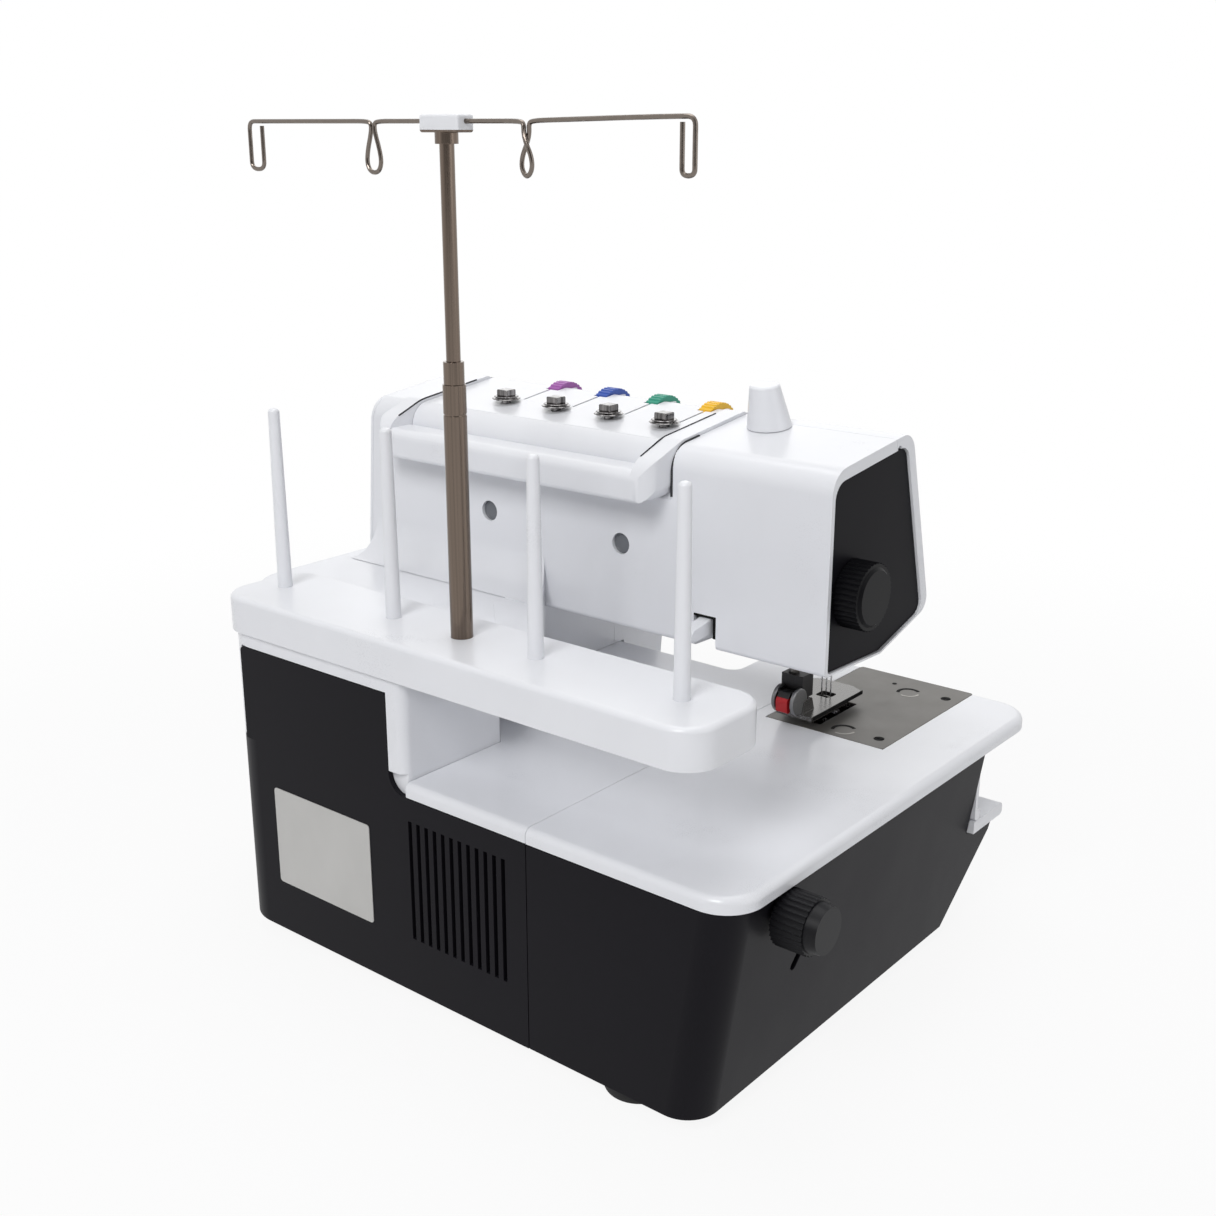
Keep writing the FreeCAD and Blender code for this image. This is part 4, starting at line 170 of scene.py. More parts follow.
class Graph:
    """Node tree of one material or of the world, filled through a single method."""

    NOISE_ROUGHNESS = 0.55

    def __init__(self, owner: Owner) -> None:
        """Empty the owner's node tree and keep both.

        Args:
            owner: Material or world that the nodes belong to.
        """
        owner.use_nodes = True
        self.owner = owner
        self.tree = owner.node_tree
        self.tree.nodes.clear()

    def add(self, kind: str, settings: Mapping[str, object] | None = None,
            sockets: Mapping[int | str, Value] | None = None, output: int | str = 0) -> Signal:
        """Add a node.

        Args:
            kind: Blender's name for the node's type.
            settings: Attributes of the node, set before its sockets.
            sockets: Value or link for each input.
            output: Output socket to hand back.

        Returns:
            The chosen output as a signal.
        """
        node = self.tree.nodes.new(kind)
        for key, value in (settings or {}).items():
            setattr(node, key, value)
        for key, value in (sockets or {}).items():
            if isinstance(value, Signal):
                self.tree.links.new(value.socket, node.inputs[key])
            else:
                node.inputs[key].default_value = value
        return Signal(self, node.outputs[output])

    def place(self) -> Signal:
        """Object coordinates, in metres."""
        return self.add("ShaderNodeTexCoord", output="Object")

    def noise(self, grain_mm: Point, detail: float) -> Signal:
        """Noise whose grain has its own size on each axis.

        Args:
            grain_mm: Size of the grain on each axis in millimetres.
            detail: Layers of finer noise that are added.

        Returns:
            The noise, from 0 to 1.
        """
        scale = tuple(1.0 / (size * MM) for size in grain_mm)
        place = self.add("ShaderNodeMapping", {"vector_type": "POINT"},
                         {"Vector": self.place(), "Scale": scale})
        return self.add("ShaderNodeTexNoise", {"noise_dimensions": "3D"},
                        {"Vector": place, "Scale": 1.0, "Detail": detail, "Roughness": self.NOISE_ROUGHNESS},
                        "Fac")

    def tone(self, share: Value, colour: Colour, factors: Pair) -> Signal:
        """Colour that goes from its first factor to its second with a share."""
        first, second = (shade(colour, factor) for factor in factors)
        # The colour sockets share their names with others of the node, so they go by number.
        return self.add("ShaderNodeMix", {"data_type": "RGBA"}, {0: share, 6: first, 7: second}, 2)

    def bump(self, height: Signal, depth_mm: float) -> Signal:
        """Normal bent by a height of that depth."""
        sockets = {"Height": height, "Strength": 1.0, "Distance": depth_mm * MM}
        return self.add("ShaderNodeBump", None, sockets, "Normal")

    def close(self, surface: Signal, kind: str = "ShaderNodeOutputMaterial") -> Owner:
        """Join a shader to a new output node.

        Args:
            surface: Shader that the owner shows.
            kind: Blender's name for the output node's type.

        Returns:
            The material or world that the nodes belong to.
        """
        node = self.tree.nodes.new(kind)
        self.tree.links.new(surface.socket, node.inputs["Surface"])
        return self.owner

    def principled(self, sockets: Mapping[str, Value]) -> bpy.types.Material:
        """Close the tree with one Principled surface."""
        return self.close(self.add("ShaderNodeBsdfPrincipled", None, sockets))


@dataclass(frozen=True)
class Finish:
    """What every finish has: a name, a colour and how rough it is."""

    name: str
    colour: Colour
    roughness: float

    def graph(self) -> Graph:
        """Empty node tree of a new material."""
        return Graph(bpy.data.materials.new(self.name))

    def material(self) -> bpy.types.Material:
        """Build the finish."""
        raise NotImplementedError


@dataclass(frozen=True)
class MouldedPlastic(Finish):
    """Injection moulded plastic with a fine tool grain."""

    grain: float = 0.35
    depth: float = 0.004
    drift: float = 0.03
    coat: float = 0.0
    shine: float = 0.5
    spread: float = 0.12
    fine_share: float = 0.6
    patch_grain: Point = (55.0, 55.0, 80.0)
    patch_edges: Pair = (0.3, 0.7)
    coat_roughness: float = 0.12
    index: float = 1.49

    def material(self) -> bpy.types.Material:
        """Build the plastic with its grain, uneven gloss and slight drift of colour.

        Returns:
            The material.
        """
        graph = self.graph()
        fine = graph.noise((self.grain,) * 3, detail=1.0)
        patch = graph.noise(self.patch_grain, detail=3.0)
        tones = (1.0 - self.drift, 1.0 + self.drift)
        colour = graph.tone(patch.step(*self.patch_edges), self.colour, tones)
        fine_spread = self.spread * self.fine_share
        rough = self.roughness + (patch - NOISE_MEAN) * self.spread + (fine - NOISE_MEAN) * fine_spread
        return graph.principled({
            "Base Color": colour, "Roughness": rough, "Coat Weight": self.coat, "IOR": self.index,
            "Coat Roughness": self.coat_roughness, "Specular IOR Level": self.shine,
            "Normal": graph.bump(fine, self.depth)})


@dataclass(frozen=True)
class DrawnMetal(Finish):
    """Metal with fine lines along one direction."""

    lines: Point = (0.12, 0.12, 30.0)
    depth: float = 0.002
    drift: float = 0.1
    spread: float = 0.2
    metal: float = 1.0
    patch_share: float = 0.7
    patch_grain: Point = (14.0, 14.0, 22.0)
    line_edges: Pair = (0.3, 0.7)

    def material(self) -> bpy.types.Material:
        """Build the metal with its lines and a slow change of tone.

        Returns:
            The material.
        """
        graph = self.graph()
        line = graph.noise(self.lines, detail=2.0)
        patch = graph.noise(self.patch_grain, detail=3.0)
        tones = (1.0 - self.drift, 1.0 + self.drift)
        tone = graph.tone(line.step(*self.line_edges), self.colour, tones)
        patch_spread = self.spread * self.patch_share
        rough = self.roughness + (line - NOISE_MEAN) * self.spread + (patch - NOISE_MEAN) * patch_spread
        return graph.principled({"Base Color": tone, "Metallic": self.metal, "Roughness": rough,
                                 "Normal": graph.bump(line, self.depth)})


@dataclass(frozen=True)
class PolishedMetal(Finish):
    """Bright plating with faint wiping marks."""

    spread: float = 0.14
    tones: Pair = (0.94, 1.04)
    wipe_grain: Point = (2.2, 5.0, 2.2)
    wipe_edges: Pair = (0.35, 0.75)
    wipe_mean: float = 0.4

    def material(self) -> bpy.types.Material:
        """Build the plating.

        Returns:
            The material.
        """
        graph = self.graph()
        wipe = graph.noise(self.wipe_grain, detail=4.0)
        tone = graph.tone(wipe.step(*self.wipe_edges), self.colour, self.tones)
        rough = self.roughness + (wipe - self.wipe_mean) * self.spread
        return graph.principled({"Base Color": tone, "Metallic": 1.0, "Roughness": rough})


@dataclass(frozen=True)
class CastMetal(Finish):
    """Grainy as-cast metal."""

    metal: float = 0.9
    spread: float = 0.2
    depth: float = 0.03
    tones: Pair = (0.85, 1.08)
    grit_grain: Point = (0.6, 0.6, 0.6)
    grit_edges: Pair = (0.3, 0.7)

    def material(self) -> bpy.types.Material:
        """Build the casting's skin.

        Returns:
            The material.
        """
        graph = self.graph()
        grit = graph.noise(self.grit_grain, detail=3.0)
        tone = graph.tone(grit.step(*self.grit_edges), self.colour, self.tones)
        rough = self.roughness + (grit - NOISE_MEAN) * self.spread
        return graph.principled({"Base Color": tone, "Metallic": self.metal, "Roughness": rough,
                                 "Normal": graph.bump(grit, self.depth)})


@dataclass(frozen=True)
class RubberMoulding(Finish):
    """Matt rubber with a dusty bloom."""

    spread: float = 0.15
    depth: float = 0.01
    tones: Pair = (0.9, 1.6)
    bloom_grain: Point = (3.0, 3.0, 3.0)
    bloom_edges: Pair = (0.4, 0.8)
    fine_grain: Point = (0.25, 0.25, 0.25)

    def material(self) -> bpy.types.Material:
        """Build the rubber.

        Returns:
            The material.
        """
        graph = self.graph()
        bloom = graph.noise(self.bloom_grain, detail=4.0)
        fine = graph.noise(self.fine_grain, detail=1.0)
        tone = graph.tone(bloom.step(*self.bloom_edges), self.colour, self.tones)
        rough = self.roughness + (bloom - NOISE_MEAN) * self.spread
        return graph.principled({"Base Color": tone, "Roughness": rough,
                                 "Normal": graph.bump(fine, self.depth)})


ALONG_Y = (0.15, 22.0, 0.15)
FINISHES: dict[Slot, Finish] = {
    Slot.WHITE: MouldedPlastic("white_casing", (0.80, 0.81, 0.845), 0.3, grain=0.5, depth=0.0015, coat=0.2,
                               drift=0.012),
    Slot.CLIP: MouldedPlastic("white_clip", (0.78, 0.79, 0.82), 0.42, grain=0.4, depth=0.002),
    Slot.DARK: MouldedPlastic("anthracite_base", (0.0078, 0.0072, 0.0098), 0.44, grain=0.45, depth=0.006,
                              drift=0.07, shine=0.085),
    Slot.BLACK: MouldedPlastic("black_dial", (0.0045, 0.0045, 0.006), 0.42, grain=0.4, depth=0.005, drift=0.1,
                               shine=0.2),
    Slot.RED: MouldedPlastic("red_lever", (0.36, 0.006, 0.01), 0.34, grain=0.3, depth=0.002),
    Slot.RUBBER: RubberMoulding("foot_rubber", (0.006, 0.006, 0.0065), 0.8),
    # Drawn-tube streaks along the pole, broad and strong enough to stand partly as painted highlight bands.
    Slot.POLE: DrawnMetal("pole_nickel", (0.165, 0.13, 0.106), 0.2, lines=(0.9, 0.9, 300.0), drift=0.16,
                          spread=0.12),
    Slot.STEEL: DrawnMetal("satin_steel", (0.2, 0.19, 0.18), 0.34, lines=ALONG_Y),
    Slot.CHROME: PolishedMetal("bright_chrome", (0.3, 0.288, 0.29), 0.06),
    Slot.CAST: CastMetal("cast_frame", (0.56, 0.57, 0.6), 0.5, metal=0.25),
    Slot.BRONZE: CastMetal("bush_bronze", (0.5, 0.33, 0.16), 0.4),
    Slot.YELLOW: MouldedPlastic("dial_yellow", (0.86, 0.5, 0.012), 0.32, depth=0.002),
    Slot.GREEN: MouldedPlastic("dial_green", (0.012, 0.3, 0.2), 0.32, depth=0.002),
    Slot.BLUE: MouldedPlastic("dial_blue", (0.02, 0.08, 0.42), 0.32, depth=0.002),
    Slot.PURPLE: MouldedPlastic("dial_purple", (0.36, 0.1, 0.4), 0.32, depth=0.002),
}
BARE_FOIL = MouldedPlastic("bare_plate_foil", (0.54, 0.535, 0.52), 0.4, grain=0.8, depth=0.003, drift=0.04)
# Darker copies of the black dial plastic and the anthracite plastic for the machine's face end: painted shade
# on that side.
FACE_BLACK_SHADED = MouldedPlastic("face_dial_black_shaded", (0.0032, 0.0032, 0.0042), 0.4, grain=0.4, depth=0.005,
                            drift=0.1, shine=0.1)
FACE_DARK_SHADED = MouldedPlastic("anthracite_face_shaded", (0.006, 0.0056, 0.0078), 0.46, grain=0.45, depth=0.006,
                           drift=0.07, shine=0.06)
# Blue-grey of the discs set in the rear wall's holes: painted shade of the holes' inside.
HOLE_SHADE_GREY = MouldedPlastic("hole_shade_grey", (0.15, 0.158, 0.175), 0.5, grain=0.4, drift=0.1)
# Dark grey of the wires in the handle gaps: painted shade where the gaps are in shadow.
SEAM_SHADE = MouldedPlastic("seam_painted_shade", (0.045, 0.045, 0.05), 0.8, grain=0.3, depth=0.003, shine=0.1)
# Near-black used as painted shade: the lifter slot strips, the sole's edge, the dimples' far arcs and the
# plate's hole; the plate screws take it as well.
MARK_DARK = MouldedPlastic("mark_shadow", (0.008, 0.008, 0.008), 0.7, grain=0.3, depth=0.003, shine=0.1)
# Lighter copy of the plate steel: painted highlight on the near side of the finger dimples.
MARK_LIGHT = DrawnMetal("mark_lit_steel", (0.3, 0.29, 0.27), 0.4, lines=ALONG_Y)
PLATE_STEEL = DrawnMetal("needle_plate_steel", (0.115, 0.109, 0.099), 0.42, lines=ALONG_Y, drift=0.07,
                         metal=0.5)
ANKLE_STEEL = DrawnMetal("ankle_steel", (0.05, 0.049, 0.05), 0.38, lines=(0.15, 0.15, 9.0))
CHEEK_STEEL = DrawnMetal("cheek_steel", (0.24, 0.24, 0.245), 0.36, lines=(0.15, 9.0, 0.15))
DARK_STEEL = DrawnMetal("burnished_steel", (0.03, 0.029, 0.029), 0.34, lines=(0.15, 0.15, 12.0))
# Chrome with broad dark and bright bands along its height: painted reflections.
GUIDE_CHROME_PAINTED_REFLECTION = DrawnMetal("guide_chrome_painted_reflection", (0.17, 0.163, 0.163), 0.12, lines=(3.0, 3.0, 60.0), depth=0.0,
                          drift=0.7, spread=0.1)
WIRE_NICKEL = PolishedMetal("yoke_wire_nickel", (0.2, 0.172, 0.15), 0.2)
SOLE_STEEL = PolishedMetal("sole_steel", (0.14, 0.137, 0.133), 0.25)
NEEDLE_NICKEL = PolishedMetal("needle_nickel", (0.82, 0.82, 0.83), 0.3)


class Bench:
    """The maker's bench frame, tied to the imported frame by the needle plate's corner."""

    PLATE_LEFT = 31.0
    PLATE_REAR = -196.0
    PLATE_TOP = 132.0

    def __init__(self) -> None:
        """Find where the bench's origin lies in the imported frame."""
        low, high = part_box("needle_plate")
        corner = Vector((low[0], high[1], high[2]))
        self.origin = corner - Vector((self.PLATE_LEFT, self.PLATE_REAR, self.PLATE_TOP)) * MM

    def spot(self, x: float, y: float, z: float) -> Vector:
        """Packed-frame place of a bench place."""
        return self.origin + Vector((x, y, z)) * MM


class Workshop:
    """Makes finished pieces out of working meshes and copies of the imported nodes."""

    ARC_STEPS = 28
    WIRE_ROUND = 4
    WIRE_STEPS = 6
    WIRE_ORDER = 3

    def __init__(self, frame: Mapping[str, Mapping]) -> None:
        """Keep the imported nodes, the bench and the materials made so far.

        Args:
            frame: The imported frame, with its nodes by name.
        """
        self.nodes = frame["nodes"]
        self.spot = Bench().spot
        self.made: dict[str, bpy.types.Material] = {}

    def material(self, finish: Finish) -> bpy.types.Material:
        """Material of a finish, made at its first use.

        Args:
            finish: Finish to look up or make.

        Returns:
            The material that all pieces of that finish share.
        """
        if finish.name not in self.made:
            self.made[finish.name] = finish.material()
        return self.made[finish.name]

    def body(self, node: str) -> str:
        """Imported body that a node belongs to."""
        return self.nodes[node]["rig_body"]

    def paint(self, node: str, slot: Slot, finish: Finish | None = None) -> None:
        """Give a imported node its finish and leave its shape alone.

        Args:
            node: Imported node.
            slot: Record slot of the finish.
            finish: Finish, where it isn't the slot's own.
        """
        thing = self.nodes[node]
        material = self.material(finish or FINISHES[slot])
        if not thing.material_slots:
            thing.data.materials.append(material)
        for holder in thing.material_slots:
            holder.material = material
        LOG.info("painted %s as %s", node, slot.value)

    def piece(self, work: BMesh, name: str, body: str, slot: Slot, finish: Finish | None = None,
              replaced: Iterable[str] = ()) -> None:
        """Turn a working mesh into a finished piece.

        Args:
            work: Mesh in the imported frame; it is freed.
            name: Name of the piece.
            body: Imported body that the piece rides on.
            slot: Record slot that the piece takes its finish from.
            finish: Finish, where it isn't the slot's own.
            replaced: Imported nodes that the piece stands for.
        """
        for face in work.faces:
            face.smooth = True
        for edge in work.edges:
            edge.smooth = len(edge.link_faces) == 2 and edge.calc_face_angle(0.0) < EDGE_ANGLE
        mesh = bpy.data.meshes.new(name)
        work.to_mesh(mesh)
        work.free()
        mesh.materials.append(self.material(finish or FINISHES[slot]))
        thing = bpy.data.objects.new(name, mesh)
        bpy.context.scene.collection.objects.link(thing)
        normals = thing.modifiers.new("even_normals", "WEIGHTED_NORMAL")
        normals.keep_sharp = True
        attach(thing, body)
        if replaced:
            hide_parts(*replaced)
        LOG.info("made %s on %s", name, body)

    def copy(self, node: str) -> BMesh:
        """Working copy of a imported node, with its loose triangles joined into flat faces.

        Args:
            node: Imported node.

        Returns:
            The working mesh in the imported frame.
        """
        work = bmesh.new()
        work.from_mesh(self.nodes[node].data)
        bmesh.ops.remove_doubles(work, verts=work.verts[:], dist=WELD)
        bmesh.ops.dissolve_limit(work, angle_limit=FLAT_ANGLE, verts=work.verts[:], edges=work.edges[:])
        return work

    @staticmethod
    def bevel(work: BMesh, edges: Sequence[bmesh.types.BMEdge], radius: float, segments: int) -> None:
        """Round some edges of a working mesh by a radius in millimetres."""
        bmesh.ops.bevel(work, geom=edges, offset=radius * MM, offset_type="OFFSET", segments=segments,
                        profile=0.5, affect="EDGES", clamp_overlap=True, material=-1)

    def round_off(self, work: BMesh, radius: float, segments: int) -> None:
        """Round every sharp edge of a working mesh.

        Args:
            work: Working mesh.
            radius: Edge rounding in millimetres.
            segments: Steps of the rounding.
        """
        sharp = [edge for edge in work.edges
                 if len(edge.link_faces) == 2 and edge.calc_face_angle(0.0) > EDGE_ANGLE]
        self.bevel(work, sharp, radius, segments)
        bmesh.ops.remove_doubles(work, verts=work.verts[:], dist=WELD)

    def soften(self, node: str, slot: Slot, radius: float, segments: int = 2,
               finish: Finish | None = None) -> None:
        """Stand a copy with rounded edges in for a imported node.

        Args:
            node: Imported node.
            slot: Record slot of the finish.
            radius: Edge rounding in millimetres.
            segments: Steps of the rounding.
            finish: Finish, where it isn't the slot's own.
        """
        work = self.copy(node)
        self.round_off(work, radius, segments)
        self.piece(work, node + "_rounded", self.body(node), slot, finish, [node])

    @staticmethod
    def close_up(work: BMesh) -> None:
        """Fill the open ends of a working mesh and turn its faces outwards."""
        bmesh.ops.holes_fill(work, edges=[edge for edge in work.edges if edge.is_boundary])
        bmesh.ops.recalc_face_normals(work, faces=work.faces[:])

    def trim(self, work: BMesh, place: Vector, outward: Vector) -> None:
        """Cut away what lies beyond a plane and close the cut.

        Args:
            work: Working mesh.
            place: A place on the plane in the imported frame.
            outward: Direction from the plane to the part that goes.
        """
        bmesh.ops.bisect_plane(work, geom=work.verts[:] + work.edges[:] + work.faces[:], dist=WELD,
                               plane_co=place, plane_no=outward, clear_outer=True)
        self.close_up(work)

    @staticmethod
    def lathe(profile: Sequence[Pair], centre: Vector, axis: Vector, steps: int) -> BMesh:
        """Spin a profile of radius and height, in millimetres, about an axis.

        Args:
            profile: Radius and height of each point, from one end to the other.
            centre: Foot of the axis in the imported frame.
            axis: Direction of the heights.
            steps: Steps of the turn.

        Returns:
            The closed working mesh.
        """
        side = axis.orthogonal().normalized()
        work = bmesh.new()
        spots = [work.verts.new(centre + side * (radius * MM) + axis * (height * MM))
                 for radius, height in profile]
        edges = [work.edges.new(pair) for pair in zip(spots, spots[1:])]
        bmesh.ops.spin(work, geom=spots + edges, cent=centre, axis=axis, angle=math.tau, steps=steps,
                       use_merge=True)
        bmesh.ops.remove_doubles(work, verts=work.verts[:], dist=WELD)
        bmesh.ops.recalc_face_normals(work, faces=work.faces[:])
        return work

    @staticmethod
    def box(low: Vector, high: Vector) -> BMesh:
        """Plain box between two corners.

        Args:
            low: Corner with the least X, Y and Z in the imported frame.
            high: Opposite corner.

        Returns:
            The closed working mesh.
        """
        work = bmesh.new()
        size = high - low
        fit = Matrix.Translation((low + high) / 2) @ Matrix.Diagonal((size.x, size.y, size.z, 1.0))
        bmesh.ops.create_cube(work, size=1.0, matrix=fit)
        return work

    def block(self, low: Vector, high: Vector, radius: float, segments: int = 3) -> BMesh:
        """Box between two corners with all its edges rounded.

        Args:
            low: Corner with the least X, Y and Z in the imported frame.
            high: Opposite corner.
            radius: Edge rounding in millimetres.
            segments: Steps of the rounding.

        Returns:
            The closed working mesh.
        """
        work = self.box(low, high)
        self.bevel(work, work.edges[:], radius, segments)
        return work

    def arc(self, centre: Vector, axis: Vector, first: Vector, sweep: float, size: Point) -> BMesh:
        """Bar of a square section bent round an axis.

        Args:
            centre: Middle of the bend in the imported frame.
            axis: Axis of the bend.
            first: Direction from the centre to the bar's first end.
            sweep: Angle of the bend in degrees.
            size: Radius at the bar's middle, width and height in millimetres.

        Returns:
            The closed working mesh.
        """
        radius, width, height = size
        work = bmesh.new()
        turn = Matrix((first, axis, first.cross(axis))).transposed().to_4x4()
        scale = Matrix.Diagonal((width * MM, height * MM, 1.0, 1.0))
        fit = Matrix.Translation(centre + first * (radius * MM)) @ turn @ scale
        bmesh.ops.create_grid(work, x_segments=1, y_segments=1, size=0.5, matrix=fit)
        bmesh.ops.spin(work, geom=work.verts[:] + work.edges[:] + work.faces[:], cent=centre, axis=axis,
                       angle=math.radians(sweep), steps=self.ARC_STEPS, use_merge=False)
        self.close_up(work)
        return work

    def wire(self, points: Sequence[Vector], radius: float) -> BMesh:
        """Round wire along a smooth line that control points guide.

        Args:
            points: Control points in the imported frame.
            radius: Radius of the wire in millimetres.

        Returns:
            The closed working mesh.
        """
        curve = bpy.data.curves.new("wire_line", "CURVE")
        curve.dimensions = "3D"
        curve.bevel_depth = radius * MM
        curve.bevel_resolution = self.WIRE_ROUND
        curve.resolution_u = self.WIRE_STEPS
        curve.use_fill_caps = True
        line = curve.splines.new("NURBS")
        line.points.add(len(points) - 1)
        for knot, point in zip(line.points, points):
            knot.co = (*point, 1.0)
        line.order_u = self.WIRE_ORDER
        line.use_endpoint_u = True
        holder = bpy.data.objects.new("wire_line", curve)
        bpy.context.scene.collection.objects.link(holder)
        bpy.context.view_layer.update()
        mesh = bpy.data.meshes.new_from_object(holder.evaluated_get(bpy.context.evaluated_depsgraph_get()))
        work = bmesh.new()
        work.from_mesh(mesh)
        bpy.data.objects.remove(holder)
        bpy.data.curves.remove(curve)
        bpy.data.meshes.remove(mesh)
        bmesh.ops.remove_doubles(work, verts=work.verts[:], dist=WELD)
        bmesh.ops.recalc_face_normals(work, faces=work.faces[:])
        return work

    @staticmethod
    def join(works: Sequence[BMesh]) -> BMesh:
        """Put several working meshes into the first one.

        Args:
            works: Working meshes; all but the first are freed.

        Returns:
            The first mesh, with all the others in it.
        """
        whole = works[0]
        for other in works[1:]:
            mesh = bpy.data.meshes.new("joining")
            other.to_mesh(mesh)
            other.free()
            whole.from_mesh(mesh)
            bpy.data.meshes.remove(mesh)
        return whole


@dataclass
class Casing:
    """White mouldings of bed, tower, arm and head, with their moulded edge radii."""

    shell_edge: float = 0.7
    bed_edge: float = 0.5
    knob_edge: float = 0.5
    small_edge: float = 0.4
    pin_edge: float = 0.3
    handle_edge: float = 1.2

    def build(self, shop: Workshop) -> None:
        """Round the edges of each white moulding.

        Args:
            shop: Workshop that makes the pieces.
        """
        for node in ("rear_cover", "front_cover", "tension_cover", "right_cover"):
            shop.soften(node, Slot.WHITE, self.shell_edge)
        for node in ("bed_left", "bed_right", "tower_base_cover", "spool_stand", "front_ledge",
                     "looper_cover"):
            shop.soften(node, Slot.WHITE, self.bed_edge)
        shop.soften("carry_handle", Slot.WHITE, self.handle_edge, segments=3)
        shop.soften("foot_lifter", Slot.WHITE, self.small_edge)
        shop.soften("pressure_knob", Slot.WHITE, self.knob_edge)
        shop.soften("spool_pins", Slot.WHITE, self.pin_edge)
        shop.soften("handwheel", Slot.WHITE, self.knob_edge)


@dataclass
class HandleGapShade:
    """Painted shade in the gaps that the casing leaves beside the two arms of the carry handle, laid as thin
    dark wires.
    """

    wall_top: float = 288.0
    top_slope: float = 0.122
    corner: float = 14.0
    outer_x: Pair = (152.1, 369.9)
    outer_radius: float = 0.75
    outer_low: float = 261.0
    outer_front: float = -188.0
    inner_x: Pair = (165.3, 356.7)
    inner_radius: float = 0.5
    inner_run: tuple[float, ...] = (-222.0, -200.0, -182.0, -171.5)
    arm_lift: float = 2.0
    arm_bend: Pair = (-163.0, 287.7)
    grip_edge: Pair = (-152.0, 283.6)

    def build(self, shop: Workshop) -> None:
        """Lay the painted shade of the outer gaps on the casing and of the inner ones on the handle, with
        which they move.

        Args:
            shop: Workshop that makes the pieces.
        """
        # Thin dark wires along the gaps: painted shade.
        lines = [shop.wire([shop.spot(x, *point) for point in self.outer()], self.outer_radius)
                 for x in self.outer_x]
        shop.piece(shop.join(lines), "handle_outer_gap_shade", FIXED, Slot.DARK, SEAM_SHADE)
        lines = [shop.wire([shop.spot(x, *point) for point in self.inner()], self.inner_radius)
                 for x in self.inner_x]
        shop.piece(shop.join(lines), "handle_inner_gap_shade", shop.body("carry_handle"), Slot.DARK, SEAM_SHADE)

    def top(self, y: float) -> float:
        """Height of the casing's sloping top."""
        return self.wall_top + (WALL_Y - y) * self.top_slope

    def outer(self) -> list[Pair]:
        """Line of a gap up the rear wall, round the edge and along the top.

        Returns:
            Depth and height of each control point, from the wall's foot on.
        """
        bend = self.corner * math.tan(math.pi / 8)
        edge_y = WALL_Y - self.corner
        edge_z = self.wall_top - self.corner
        wall = [(WALL_Y, z) for z in (self.outer_low, edge_z - bend, edge_z + bend)]
        return wall + [(y, self.top(y)) for y in (edge_y + bend, edge_y - bend, self.outer_front)]

    def inner(self) -> list[Pair]:
        """Depth and height of a gap's control points along the inner edge of a handle arm."""
        return [(y, self.top(y) + self.arm_lift) for y in self.inner_run] + [self.arm_bend, self.grip_edge]


@dataclass
class RearWall:
    """Painted shade in the rear wall's access holes and the foot lifter's slot, and the foot where the wall
    meets the spool stand's block.
    """

    # Discs set back in the two access holes, coloured as their shaded inside: painted shade.
    plug_xz: tuple[Pair, ...] = ((291.0, 231.0), (188.0, 228.0))
    plug_depth: float = 4.2
    plug: Profile = ((0.0, 0.0), (6.1, 0.0), (6.1, 2.2), (5.6, 2.5), (4.8, 1.7), (0.0, 1.4))
    # Dark strips along the top and one side of the foot lifter's slot: painted shade of the slot.
    slot_side: tuple[Point, Point] = ((120.5, -165.4, 184.5), (122.4, -162.8, 196.2))
    slot_top: tuple[Point, Point] = ((120.5, -163.3, 195.9), (135.5, -162.75, 197.3))
    slot_edge: float = 0.2
    foot_low: Point = (188.0, -162.7, 132.4)
    foot_high: Point = (255.2, -80.0, 187.6)
    foot_edge: float = 0.4
    joint: Point = (255.0, -127.0, 187.6)
    joint_out: Vector = Vector((1.0, 1.0, 0.0))
    under: Point = (230.0, -127.0, 135.0)
    under_out: Vector = Vector((0.0, 0.375, -0.927))
    end: Point = (230.0, -139.0, 187.6)
    end_out: Vector = Vector((-0.825, -0.566, 0.0))
    flare_middle: Point = (243.5, -139.0, 211.9)
    flare_size: Point = (29.0, 10.0, 27.0)
    flare_sweep: float = 90.0

    def build(self, shop: Workshop) -> None:
        """Set grey discs in the access holes and lay dark strips by the foot lifter's slot, both painted
        shade, and shape the tower's foot.

        Args:
            shop: Workshop that makes the pieces.
        """
        # Grey discs in the holes: painted shade.
        plugs = [shop.lathe(self.plug, shop.spot(x, WALL_Y - self.plug_depth, z), Axis.Y.value, steps=40)
                 for x, z in self.plug_xz]
        shop.piece(shop.join(plugs), "hole_shade_discs", FIXED, Slot.DARK, HOLE_SHADE_GREY)
        # Near-black strips by the lifter's slot: painted shade.
        strips = [shop.block(shop.spot(*low), shop.spot(*high), self.slot_edge, segments=2)
                  for low, high in (self.slot_side, self.slot_top)]
        shop.piece(shop.join(strips), "lifter_slot_painted_shade", FIXED, Slot.DARK, MARK_DARK)
        self.tower_foot(shop)

    def tower_foot(self, shop: Workshop) -> None:
        """Carry the block behind the tower and the wall's flared foot on towards the head.

        Args:
            shop: Workshop that makes the pieces.
        """
        block = shop.block(shop.spot(*self.foot_low), shop.spot(*self.foot_high), self.foot_edge, segments=2)
        shop.trim(block, shop.spot(*self.joint), self.joint_out.normalized())
        shop.trim(block, shop.spot(*self.under), self.under_out)
        flare = shop.arc(shop.spot(*self.flare_middle), Axis.X.value, -Axis.Y.value, self.flare_sweep,
                         self.flare_size)
        for work in (block, flare):
            shop.trim(work, shop.spot(*self.end), self.end_out)
        shop.piece(shop.join([block, flare]), "tower_foot", FIXED, Slot.WHITE)


